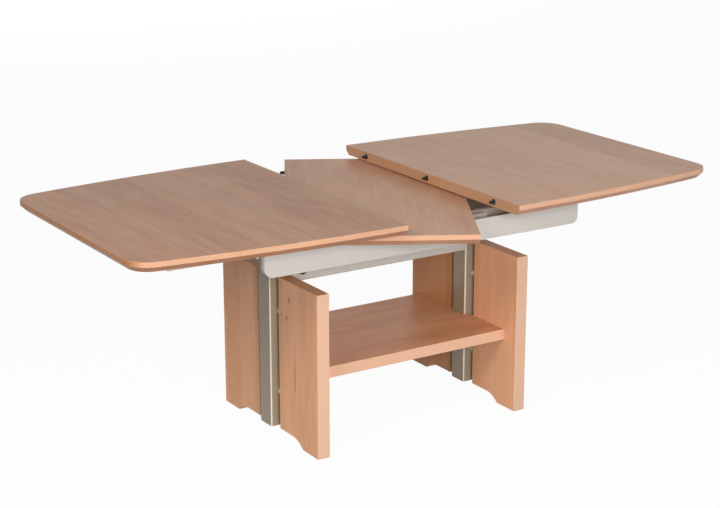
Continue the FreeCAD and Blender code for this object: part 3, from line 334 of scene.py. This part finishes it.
def lipped_edge(graph, colour, shade, edge_share, middle, normal, outer_end):
    """The colour with a solid edge round the board: lipping, painted shade on the sticks at both ends and on
    the bevel below.
    """
    lipping = graph.blend(edge_share, LIPPING_TONE, middle)
    # Painted shade on the sticks at both ends
    if outer_end:
        outward = graph.calc("MULTIPLY", normal[0], outer_end)
        outer_end_shade = graph.fade(outward, OUTER_SPAN)
        lipping = graph.blend(outer_end_shade, lipping, graph.blend(shade, OUTER_END_SHADE_TONE, middle))
        inner_end_shade = graph.calc("LESS_THAN", outward, -FLAT_FROM)
        lipping = graph.blend(inner_end_shade, lipping, graph.blend(edge_share, INNER_END_SHADE_TONE, middle))
    edge = graph.calc("LESS_THAN", graph.calc("ABSOLUTE", normal[2]), FLAT_FROM)
    colour = graph.blend(edge, colour, lipping)
    # Painted shade on the bevel that faces down
    bevel = graph.calc("COMPARE", normal[2], BEVEL_SLOPE, BEVEL_REACH)
    return graph.blend(bevel, colour, graph.blend(shade, BEVEL_SHADE_TONE, middle))


def facing(graph, normal, axis):
    """1 on the faces that look along an axis, either way, and 0 on the others."""
    return graph.calc("GREATER_THAN", graph.calc("ABSOLUTE", normal[AXES.index(axis)]), NARROW_FROM)


def beech(name, grain, tones, stave_axis, stave_width, turn=0.0, lipped=False, outer_end=0.0, edge_and_sheen_tone=None,
          end_tone=None, seed=0.0, contrast=1.0, streaky=0.3, marks=()):
    """Lacquered beech: staves of slightly different tone, arched growth rings, fibres and short ray flecks.

    The tones go from dark to light. A lipped board has a solid edge right round it, with painted shade on
    the bevel below, and one with an outer end, towards that sign of X, also has painted shade on the sticks
    at both ends. An edge and sheen tone is for the narrow faces across the staves, paler partly in their
    own tone and partly as a painted sheen, and an end tone for end grain. Contrast and streaky say how
    strongly the figure and the scattered dark streaks show, and marks are knots and dark strands.
    """
    graph = Graph(name)
    draw, own = stave_draw(graph, turn, stave_axis, stave_width, seed)
    layers = {layer: figure(graph, grain, own, **make) for layer, make in FIGURE.items()}
    layers["stave"] = draw
    layers["rings"] = graph.calc("PINGPONG", graph.calc("MULTIPLY", layers["arches"], RING_COUNT), 1.0)
    swings = [(layers[layer], spread * contrast) for layer, spread in SHADE_SPREADS.items()]
    shade = graph.vary(MIDDLE_SHADE, *swings)
    flecks = graph.fade(layers["fleck"], FLECK_SPAN)
    colour = planed_face(graph, layers, shade, flecks, tones, streaky)
    colour = marked(graph, colour, marks)

    dark, middle = tones[:2]
    normal = graph.normal()
    edge_share = graph.vary(EDGE_SHARE, (shade, EDGE_SPREAD))
    if lipped:
        colour = lipped_edge(graph, colour, shade, edge_share, middle, normal, outer_end)
    # Narrow faces across the staves: paler, partly their own tone and partly a painted sheen
    if edge_and_sheen_tone:
        side = graph.blend(edge_share, edge_and_sheen_tone, middle)
        colour = graph.blend(facing(graph, normal, stave_axis), colour, side)
    if end_tone:
        pores = graph.blend(graph.calc("MULTIPLY", flecks, PORE_SHARE), end_tone, dark)
        colour = graph.blend(facing(graph, normal, grain), colour, pores)
    uneven = graph.vary(LACQUER_ROUGHNESS, (layers["fibre"], LACQUER_SPREAD))
    graph.give(Base_Color=colour, Roughness=uneven, Specular_IOR_Level=LACQUER_SPECULAR)
    graph.bump(graph.calc("MULTIPLY_ADD", flecks, FLECK_HEIGHT, layers["fibre"]), **WOOD_RELIEF)
    return graph.material


# Paints, metals, plastics and felt: cell sizes in metres, spreads of tone and roughness, and fine relief

POWDER_CLOUD = (0.09, 0.09, 0.2)
POWDER_CLOUD_SPREAD = 0.12
POWDER_SPECK = even(0.0005)
POWDER_SPECK_SPREAD = 0.10
POWDER_ROUGHNESS_SPREAD = 0.1
POWDER_PEEL = even(0.0016)
POWDER_RELIEF = {"strength": 0.12, "depth": 0.0001}


def powder_coat(name, colour, roughness):
    """Baked paint with a fine orange peel and a little uneven tone."""
    graph = Graph(name)
    cloud = graph.noise(graph.cells(POWDER_CLOUD))
    speck = graph.noise(graph.cells(POWDER_SPECK), detail=1.0)
    peel = graph.noise(graph.cells(POWDER_PEEL), detail=2.0)
    level = graph.vary(1.0, (speck, POWDER_SPECK_SPREAD), (cloud, POWDER_CLOUD_SPREAD))
    uneven = graph.vary(roughness, (cloud, POWDER_ROUGHNESS_SPREAD))
    graph.give(Base_Color=graph.tint(colour, level), Roughness=uneven)
    graph.bump(peel, **POWDER_RELIEF)
    return graph.material


# The corner highlight span is the slant of a rounded corner between two faces, which is a half at its middle;
# across it a painted highlight, a paler tone, fades in along the corners
ENAMEL_CLOUD = (0.06, 0.06, 0.25)
ENAMEL_CLOUD_SPREAD = 0.16
ENAMEL_ROUGHNESS_SPREAD = 0.08
ENAMEL_SPECULAR = 0.3
ENAMEL_PEEL = (0.004, 0.004, 0.01)
ENAMEL_RELIEF = {"strength": 0.04, "depth": 0.0001}
CORNER_HIGHLIGHT_SPAN = (0.40, 0.47)


def corner_highlight_coat(name, colour, highlight_tone, roughness):
    """Smooth glossy paint on a square tube, with a painted highlight in a paler tone along its rounded
    corners.
    """
    graph = Graph(name)
    cloud = graph.noise(graph.cells(ENAMEL_CLOUD))
    peel = graph.noise(graph.cells(ENAMEL_PEEL), detail=2.0)
    shaded = graph.tint(colour, graph.vary(1.0, (cloud, ENAMEL_CLOUD_SPREAD)))
    normal = graph.normal()
    slant = graph.calc("ABSOLUTE", graph.calc("MULTIPLY", normal[0], normal[1]))
    # Painted highlight: the paler tone laid along the rounded corners
    corner = graph.fade(slant, CORNER_HIGHLIGHT_SPAN)
    uneven = graph.vary(roughness, (cloud, ENAMEL_ROUGHNESS_SPREAD))
    graph.give(Base_Color=graph.blend(corner, shaded, highlight_tone), Roughness=uneven,
               Specular_IOR_Level=ENAMEL_SPECULAR)
    graph.bump(peel, **ENAMEL_RELIEF)
    return graph.material


METAL_CLOUD = even(0.05)
METAL_CLOUD_SPREAD = 0.14
DRAWN_LINE = {"length": 0.15, "width": 0.0004, "roughness": 0.6}
DRAWN_LINE_SPREAD = 0.22
METAL_ROUGHNESS_SPREAD = 0.2
METAL_RELIEF = {"strength": 0.15, "depth": 0.0001}


def drawn_metal(name, colour, roughness, grain, metallic=1.0):
    """Bare metal with fine drawing lines along its length; an anodised skin makes it less metallic."""
    graph = Graph(name)
    lines = figure(graph, grain, None, **DRAWN_LINE)
    cloud = graph.noise(graph.cells(METAL_CLOUD))
    level = graph.vary(1.0, (cloud, METAL_CLOUD_SPREAD), (lines, DRAWN_LINE_SPREAD))
    uneven = graph.vary(roughness, (lines, METAL_ROUGHNESS_SPREAD))
    graph.give(Base_Color=graph.tint(colour, level), Roughness=uneven, Metallic=metallic)
    graph.bump(lines, **METAL_RELIEF)
    return graph.material


MOULD_CLOUD = even(0.03)
MOULD_CLOUD_SPREAD = 0.3
MOULD_GRAIN = even(0.0008)
MOULD_ROUGHNESS_SPREAD = 0.2
MOULD_RELIEF = {"strength": 0.2, "depth": 0.00015}


def moulded(name, colour, roughness):
    """Moulded plastic with a fine spark-eroded grain."""
    graph = Graph(name)
    grain = graph.noise(graph.cells(MOULD_GRAIN), detail=2.0)
    cloud = graph.noise(graph.cells(MOULD_CLOUD), detail=2.0)
    shaded = graph.tint(colour, graph.vary(1.0, (cloud, MOULD_CLOUD_SPREAD)))
    graph.give(Base_Color=shaded, Roughness=graph.vary(roughness, (grain, MOULD_ROUGHNESS_SPREAD)))
    graph.bump(grain, **MOULD_RELIEF)
    return graph.material


FELT_FIBRE = even(0.0006)
FELT_TANGLE = {"detail": 4.0, "roughness": 0.7, "distortion": 1.5}
FELT_SPAN = (0.3, 0.7)
FELT_DEPTH_SHADE_SHARE = 0.5
FELT_ROUGHNESS = 0.95
FELT_SHEEN = 0.3
FELT_RELIEF = {"strength": 0.8, "depth": 0.0005}


def felt(name, colour):
    """Pressed felt: a tangle of short fibres, with painted shade darkening the hollows between them."""
    graph = Graph(name)
    fibres = graph.noise(graph.cells(FELT_FIBRE), **FELT_TANGLE)
    # Painted shade: the fibres' hollows, low in the bump, made darker
    depths = (*(part * FELT_DEPTH_SHADE_SHARE for part in colour[:3]), 1.0)
    colours = graph.ramp(fibres, list(zip(FELT_SPAN, (depths, colour))))
    graph.give(Base_Color=colours, Roughness=FELT_ROUGHNESS, Sheen_Weight=FELT_SHEEN)
    graph.bump(fibres, **FELT_RELIEF)
    return graph.material


# Finishes by material slot, and the boards by node because their grain runs different ways

finishes = {
    "dowel_wood": beech("dowel_beech", "x", BEECH_TONES, "y", DOWEL_STAVE),
    # The columns' pale corner tone is a painted highlight
    "column_paint": corner_highlight_coat("taupe_enamel", tone(155, 139, 117), highlight_tone=tone(232, 222, 208),
                                     roughness=0.24),
    "frame_paint": powder_coat("light_grey_powder_coat", tone(193, 188, 181), roughness=0.42),
    "inner_frame_paint": powder_coat("grey_powder_coat", tone(178, 174, 166), roughness=0.42),
    "rail_aluminium": drawn_metal("anodised_aluminium", tone(214, 207, 196), roughness=0.40, grain="x",
                                  metallic=0.5),
    "bright_steel": drawn_metal("zinc_plated_steel", tone(196, 198, 200), roughness=0.34, grain="z"),
    "gas_spring_paint": powder_coat("black_paint", tone(32, 32, 33), roughness=0.3),
    "gear_plastic": moulded("dark_nylon", tone(62, 62, 64), roughness=0.5),
    "buffer_rubber": moulded("black_rubber", tone(30, 30, 30), roughness=0.8),
    "glide_felt": felt("grey_brown_felt", tone(120, 108, 96)),
    "guide_plastic": moulded("taupe_nylon", tone(128, 117, 101), roughness=0.45),
    "spacer_plastic": moulded("natural_nylon", tone(226, 220, 204), roughness=0.42),
    "black_plastic": moulded("black_plastic", tone(15, 14, 13), roughness=0.5),
}

boards = {
    "left_top_board": beech("left_top_beech", "y", BEECH_TONES, "x", TOP_STAVE, lipped=True, outer_end=-1.0,
                            seed=3.0, contrast=1.5),
    # The right top's paler tones are a painted sheen
    "right_top_board": beech("right_top_beech", "y", SHEEN_PALED_TONES, "x", TOP_STAVE, lipped=True, outer_end=1.0,
                             seed=11.0, contrast=0.9),
    "leaf_board": beech("leaf_beech", "y", LEAF_TONES, "x", TOP_STAVE, turn=LEAF_TURN, lipped=True,
                        seed=23.0),
    "shelf": beech("shelf_beech", "x", SHELF_TONES, "y", SHELF_STAVE, edge_and_sheen_tone=SHELF_EDGE_AND_SHEEN_TONE,
                   end_tone=END_TONE, seed=5.0),
}

# Pin knots and a dark strand on the left front panel's outer face: place and reach in metres, depth of tone
PANEL_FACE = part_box("left_front_panel")[0][0]
MARK_REACH = 0.02
FRONT_PANEL_MARKS = (
    ((PANEL_FACE, -0.0851, 0.3096), (MARK_REACH, 0.006, 0.012), 1.0),
    ((PANEL_FACE, -0.0548, 0.2724), (MARK_REACH, 0.005, 0.005), 0.9),
    ((PANEL_FACE, -0.0762, 0.2696), (MARK_REACH, 0.006, 0.009), 1.0),
    ((PANEL_FACE, -0.1070, 0.1500), (MARK_REACH, 0.006, 0.080), 0.6),
)

# The right rear panel has painted shade: darker tones, and narrow faces no lighter than the rest,
# for where it stands deep in the table's shadow
PANELS = {
    "left_front_panel": {"tones": PANEL_TONES, "edge_and_sheen_tone": EDGE_AND_SHEEN_TONE, "seed": 31.0,
                         "marks": FRONT_PANEL_MARKS},
    "left_rear_panel": {"tones": PANEL_TONES, "edge_and_sheen_tone": EDGE_AND_SHEEN_TONE, "seed": 32.0},
    "right_front_panel": {"tones": PANEL_TONES, "edge_and_sheen_tone": EDGE_AND_SHEEN_TONE, "seed": 33.0},
    "right_rear_panel": {"tones": SHADED_PANEL_TONES, "seed": 34.0},
}
for name, wood in PANELS.items():
    boards[name] = beech(name + "_beech", "z", stave_axis="y", stave_width=PANEL_STAVE, end_tone=END_TONE,
                         contrast=0.5, streaky=0.5, **wood)

for name, piece in cad.items():
    finish = boards.get(name) or finishes[slot_of[name]]
    piece.data.materials.clear()
    piece.data.materials.append(finish)


# Turned pieces that replace plain solids, sizes in millimetres and the angle of a sharp edge in degrees

MILLIMETRE = 0.001
STEPS = 36
ROUND_SEGMENTS = 3
SHARP_ANGLE = 35.0
LOBE_COUNT = 6
LOBE_SHARE = 0.13

# How near two points, a point and a ring, or a point and a rim lie to count as one
SAME_POINT = 0.001
ON_RING = 0.01
ON_RIM = 0.3

# Alignment pins and sockets have the same round body, sunk in a board's edge
BODY_RADIUS = 6.2
BODY_LENGTH = 20.0
BODY_ROUND = 0.6

# The pin's nose tapers from a small step at the body's rim to a rounded tip, narrower on the plain solid
PIN_RIM_ROUND = 0.35
NOSE_STEP_RADIUS = 5.0
NOSE_STEP_HEIGHT = 0.6
NOSE_ROOT_RADIUS = 4.6
NOSE_ROOT_ROUND = 0.5
NOSE_TIP_RADIUS = 2.6
NOSE_TIP_ROUND = 1.7
NOSE_LENGTH = 11.0
PLAIN_TIP_RADIUS = 2.2

# The socket's mouth is countersunk, above a blind bore
SOCKET_RIM_ROUND = 0.3
MOUTH_RADIUS = 5.6
MOUTH_DEPTH = 1.0
MOUTH_ROUND = 0.3
BORE_RADIUS = 5.0
BORE_DEPTH = 13.0
BORE_ROUND = 0.8

# A foot glide is a felt pad on a slightly smaller base
PAD_RADIUS = 11.0
PAD_HEIGHT = 2.6
PAD_ROUND = 0.9
BASE_RADIUS = 10.4
BASE_STEP = 0.2
GLIDE_HEIGHT = 4.0

# A spacer is a tube with a flange at each end
SPACER_LENGTH = 19.0
SPACER_BORE_RADIUS = 4.1
FLANGE_RADIUS = 7.0
FLANGE_HEIGHT = 3.0
FLANGE_END_ROUND = 0.4
FLANGE_INNER_ROUND = 0.3
WAIST_RADIUS = 6.3
WAIST_SLOPE = 0.6

# Pan-head screws: tip, shank, head and recess, with heights in the head as shares of its own
SCREW_TIP_RADIUS = 1.2
SCREW_TIP_HEIGHT = 0.3
SHANK_RADIUS = 2.5
SHANK_START = 2.2
HEAD_RADIUS = 4.5
SHOULDER_RADIUS = 4.1
CROWN_RADIUS = 3.2
RECESS_RADIUS = 2.0
RECESS_FLOOR_RADIUS = 1.8
HEAD_SIDE_SHARE = 0.45
SHOULDER_SHARE = 0.78
RECESS_FLOOR_SHARE = 0.35
RECESS_CENTRE_SHARE = 0.30
RECESS_RINGS = (8, 9)

# Profiles as rings from foot to head, each with its radius, height above the foot and rounding
PIN = [
    (0.0, 0.0, 0.0),
    (BODY_RADIUS, 0.0, BODY_ROUND),
    (BODY_RADIUS, BODY_LENGTH, PIN_RIM_ROUND),
    (NOSE_STEP_RADIUS, BODY_LENGTH, 0.0),
    (NOSE_ROOT_RADIUS, BODY_LENGTH + NOSE_STEP_HEIGHT, NOSE_ROOT_ROUND),
    (NOSE_TIP_RADIUS, BODY_LENGTH + NOSE_LENGTH, NOSE_TIP_ROUND),
    (0.0, BODY_LENGTH + NOSE_LENGTH, 0.0),
]
SOCKET = [
    (0.0, 0.0, 0.0),
    (BODY_RADIUS, 0.0, BODY_ROUND),
    (BODY_RADIUS, BODY_LENGTH, SOCKET_RIM_ROUND),
    (MOUTH_RADIUS, BODY_LENGTH, 0.0),
    (BORE_RADIUS, BODY_LENGTH - MOUTH_DEPTH, MOUTH_ROUND),
    (BORE_RADIUS, BODY_LENGTH - BORE_DEPTH, BORE_ROUND),
    (0.0, BODY_LENGTH - BORE_DEPTH, 0.0),
]
GLIDE = [
    (0.0, 0.0, 0.0),
    (PAD_RADIUS, 0.0, PAD_ROUND),
    (PAD_RADIUS, PAD_HEIGHT, 0.0),
    (BASE_RADIUS, PAD_HEIGHT + BASE_STEP, 0.0),
    (BASE_RADIUS, GLIDE_HEIGHT, 0.0),
    (0.0, GLIDE_HEIGHT, 0.0),
]
SPACER = [
    (SPACER_BORE_RADIUS, 0.0, 0.0),
    (FLANGE_RADIUS, 0.0, FLANGE_END_ROUND),
    (FLANGE_RADIUS, FLANGE_HEIGHT, FLANGE_INNER_ROUND),
    (WAIST_RADIUS, FLANGE_HEIGHT + WAIST_SLOPE, 0.0),
    (WAIST_RADIUS, SPACER_LENGTH - FLANGE_HEIGHT - WAIST_SLOPE, 0.0),
    (FLANGE_RADIUS, SPACER_LENGTH - FLANGE_HEIGHT, FLANGE_INNER_ROUND),
    (FLANGE_RADIUS, SPACER_LENGTH, FLANGE_END_ROUND),
    (SPACER_BORE_RADIUS, SPACER_LENGTH, 0.0),
    (SPACER_BORE_RADIUS, 0.0, 0.0),
]


def screw(length, head):
    """The profile of a pan-head screw of that length and head height, with a recess in its head."""
    neck = length - head
    return [
        (0.0, 0.0, 0.0),
        (SCREW_TIP_RADIUS, SCREW_TIP_HEIGHT, 0.0),
        (SHANK_RADIUS, SHANK_START, 0.0),
        (SHANK_RADIUS, neck, 0.0),
        (HEAD_RADIUS, neck, 0.0),
        (HEAD_RADIUS, neck + HEAD_SIDE_SHARE * head, 0.0),
        (SHOULDER_RADIUS, neck + SHOULDER_SHARE * head, 0.0),
        (CROWN_RADIUS, length, 0.0),
        (RECESS_RADIUS, length, 0.0),
        (RECESS_FLOOR_RADIUS, neck + RECESS_FLOOR_SHARE * head, 0.0),
        (0.0, neck + RECESS_CENTRE_SHARE * head, 0.0),
    ]


UP = Vector((0.0, 0.0, 1.0))
ACROSS = Vector((1.0, 0.0, 0.0))
REARWARD = Vector((0.0, 1.0, 0.0))
LEAF_ACROSS = Vector((math.cos(math.radians(LEAF_TURN)), math.sin(math.radians(LEAF_TURN)), 0.0))


def islands(node):
    """The corner points of each separate solid of a CAD node."""
    shape = bmesh.new()
    shape.from_mesh(cad[node].data)
    bmesh.ops.remove_doubles(shape, verts=shape.verts[:], dist=SAME_POINT * MILLIMETRE)
    waiting = set(shape.verts)
    groups = []
    for start in shape.verts:
        if start not in waiting:
            continue
        waiting.remove(start)
        wave = [start]
        group = []
        while wave:
            vertex = wave.pop()
            group.append(vertex.co.copy())
            beside = {edge.other_vert(vertex) for edge in vertex.link_edges} & waiting
            waiting -= beside
            wave.extend(beside)
        groups.append(group)
    shape.free()
    return groups


def long_axis(points):
    """The axis along which a group of points reaches furthest."""
    def reach(way):
        levels = [point.dot(way) for point in points]
        return max(levels) - min(levels)
    return max((ACROSS, REARWARD, UP), key=reach)


def seat(points, axis, head_radius):
    """The foot's centre in metres, direction, length and head height of one solid.

    Its head is the end that has a rim of the head radius.
    """
    heights = [point.dot(axis) for point in points]
    low, high = min(heights), max(heights)
    first = axis.orthogonal().normalized()
    centre = Vector()
    for way in (first, axis.cross(first)):
        levels = [point.dot(way) for point in points]
        centre += way * (min(levels) + max(levels)) / 2
    rim = [height for point, height in zip(points, heights)
           if abs((point - axis * height - centre).length - head_radius * MILLIMETRE) < ON_RIM * MILLIMETRE]
    length = (high - low) / MILLIMETRE
    head = (max(rim) - min(rim)) / MILLIMETRE
    if high - max(rim) < ON_RIM * MILLIMETRE:
        return centre + axis * low, axis, length, head
    return centre + axis * high, -axis, length, head


def on_ring(vertex, radius, height):
    return abs(vertex.co.z - height) < ON_RING and abs(vertex.co.xy.length - radius) < ON_RING


def spun(rings, lobed=()):
    """A solid turned about Z from the rings of a profile; rings numbered in lobed get a recess's lobes."""
    shape = bmesh.new()
    line = [shape.verts.new((radius, 0.0, height)) for radius, height, rounding in rings]
    edges = [shape.edges.new(pair) for pair in zip(line, line[1:])]
    bmesh.ops.spin(shape, geom=line + edges, cent=(0, 0, 0), axis=(0, 0, 1), dvec=(0, 0, 0),
                   angle=math.tau, steps=STEPS, use_merge=True)
    bmesh.ops.remove_doubles(shape, verts=shape.verts[:], dist=SAME_POINT)
    bmesh.ops.recalc_face_normals(shape, faces=shape.faces[:])
    for radius, height, rounding in rings:
        if rounding:
            rim = [edge for edge in shape.edges if all(on_ring(end, radius, height) for end in edge.verts)]
            bmesh.ops.bevel(shape, geom=rim, offset=rounding, affect="EDGES", segments=ROUND_SEGMENTS,
                            profile=0.5, material=-1)
    for number in lobed:
        radius, height, rounding = rings[number]
        for vertex in [vertex for vertex in shape.verts if on_ring(vertex, radius, height)]:
            swing = 1 + LOBE_SHARE * math.cos(LOBE_COUNT * math.atan2(vertex.co.y, vertex.co.x))
            vertex.co.x *= swing
            vertex.co.y *= swing
    return shape


def turned_piece(node, profile, head_radius, axis=None, lobed=()):
    """All the solids of a node turned anew, as one piece that stands for the node.

    The profile is a list of rings, or gives one for a length and a head height. Without an axis, each solid
    lies along its greatest length.
    """
    whole = bmesh.new()
    for points in islands(node):
        foot, direction, length, head = seat(points, axis or long_axis(points), head_radius)
        rings = profile(length, head) if callable(profile) else profile
        one = spun(rings, lobed)
        turn = direction.to_track_quat("Z", "Y").to_matrix().to_4x4()
        one.transform(Matrix.Translation(foot) @ turn @ Matrix.Scale(MILLIMETRE, 4))
        mesh = bpy.data.meshes.new(node)
        one.to_mesh(mesh)
        one.free()
        whole.from_mesh(mesh)
        bpy.data.meshes.remove(mesh)
    mesh = bpy.data.meshes.new(node + "_turned")
    whole.to_mesh(mesh)
    whole.free()
    mesh.shade_smooth()
    mesh.set_sharp_from_angle(angle=math.radians(SHARP_ANGLE))
    mesh.materials.append(finishes[slot_of[node]])
    piece = bpy.data.objects.new(node + "_turned", mesh)
    bpy.context.scene.collection.objects.link(piece)
    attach(piece, body_of(cad[node])[0])
    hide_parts(node)


turned_piece("right_alignment_pins", PIN, PLAIN_TIP_RADIUS, ACROSS)
turned_piece("leaf_alignment_pins", PIN, PLAIN_TIP_RADIUS, LEAF_ACROSS)
turned_piece("left_alignment_sockets", SOCKET, BORE_RADIUS, ACROSS)
turned_piece("leaf_alignment_sockets", SOCKET, BORE_RADIUS, LEAF_ACROSS)
turned_piece("foot_glides", GLIDE, PAD_RADIUS, UP)
turned_piece("panel_spacers", SPACER, FLANGE_RADIUS, REARWARD)
for name in ("frame_screws", "gear_screws", "left_board_screws", "right_board_screws", "left_runner_screws",
             "right_runner_screws"):
    turned_piece(name, screw, HEAD_RADIUS, lobed=RECESS_RINGS)


# Studio

def white_where_seen(tree, strength):
    """1, plain white, for rays that show the background, and the strength for rays that light the object."""
    path = tree.nodes.new("ShaderNodeLightPath")
    total = path.outputs["Is Camera Ray"]
    for name in ("Is Glossy Ray", "Is Transmission Ray"):
        node = tree.nodes.new("ShaderNodeMath")
        node.operation = "MAXIMUM"
        tree.links.new(total, node.inputs[0])
        tree.links.new(path.outputs[name], node.inputs[1])
        total = node.outputs[0]
    span = tree.nodes.new("ShaderNodeMapRange")
    tree.links.new(total, span.inputs["Value"])
    span.inputs["To Min"].default_value = strength
    span.inputs["To Max"].default_value = 1.0
    return span.outputs["Result"]


def studio_world():
    """White air that lights the table softly from all round."""
    world = bpy.data.worlds.new("studio")
    world.use_nodes = True
    background = world.node_tree.nodes["Background"]
    background.inputs["Color"].default_value = grey(1.0)
    world.node_tree.links.new(white_where_seen(world.node_tree, AMBIENT), background.inputs["Strength"])
    bpy.context.scene.world = world


def studio_floor():
    """A white floor that glows where it is seen and takes the table's shadow, but throws little light up."""
    shape = bmesh.new()
    bmesh.ops.create_grid(shape, x_segments=1, y_segments=1, size=FLOOR_SIDE / 2)
    mesh = bpy.data.meshes.new("studio_floor")
    shape.to_mesh(mesh)
    shape.free()
    floor = bpy.data.objects.new("studio_floor", mesh)
    bpy.context.scene.collection.objects.link(floor)
    graph = Graph("white_floor")
    graph.give(Base_Color=white_where_seen(graph.tree, FLOOR_GREY), Roughness=FLOOR_ROUGHNESS)
    glow = graph.add("Emission", {"Color": grey(1.0), "Strength": 1.0})
    seen = graph.calc("MULTIPLY", white_where_seen(graph.tree, 0.0), FLOOR_GLOW)
    mixed = graph.add("MixShader", {0: seen, 1: graph.surface.outputs[0], 2: glow.outputs[0]})
    output = graph.tree.nodes["Material Output"]
    graph.feed(output.inputs["Surface"], mixed.outputs[0])
    mesh.materials.append(graph.material)


def softbox(name, place, width, height, watts):
    """A lamp turned to the table, which lights it but isn't mirrored in its glossy surfaces."""
    light = bpy.data.lights.new(name, "AREA")
    light.shape = "RECTANGLE"
    light.size = width
    light.size_y = height
    light.energy = watts
    lamp = bpy.data.objects.new(name, light)
    bpy.context.scene.collection.objects.link(lamp)
    lamp.location = place
    lamp.visible_glossy = False
    aim = Vector(SOFTBOX_TARGET) - Vector(place)
    lamp.rotation_euler = aim.to_track_quat("-Z", "Y").to_euler()


def photograph_camera():
    """The camera at the photograph's place, with its lens."""
    lens = bpy.data.cameras.new("photograph")
    lens.lens = CAMERA_LENS
    lens.sensor_width = CAMERA_FILM
    lens.sensor_fit = "HORIZONTAL"
    camera = bpy.data.objects.new("photograph", lens)
    bpy.context.scene.collection.objects.link(camera)
    camera.location = CAMERA_PLACE
    camera.rotation_euler = (math.radians(CAMERA_TILT), 0.0, math.radians(CAMERA_YAW))
    bpy.context.scene.camera = camera


studio_world()
studio_floor()
for name, setting in SOFTBOXES.items():
    softbox(name, **setting)
photograph_camera()
bpy.context.scene.view_settings.view_transform = "Standard"
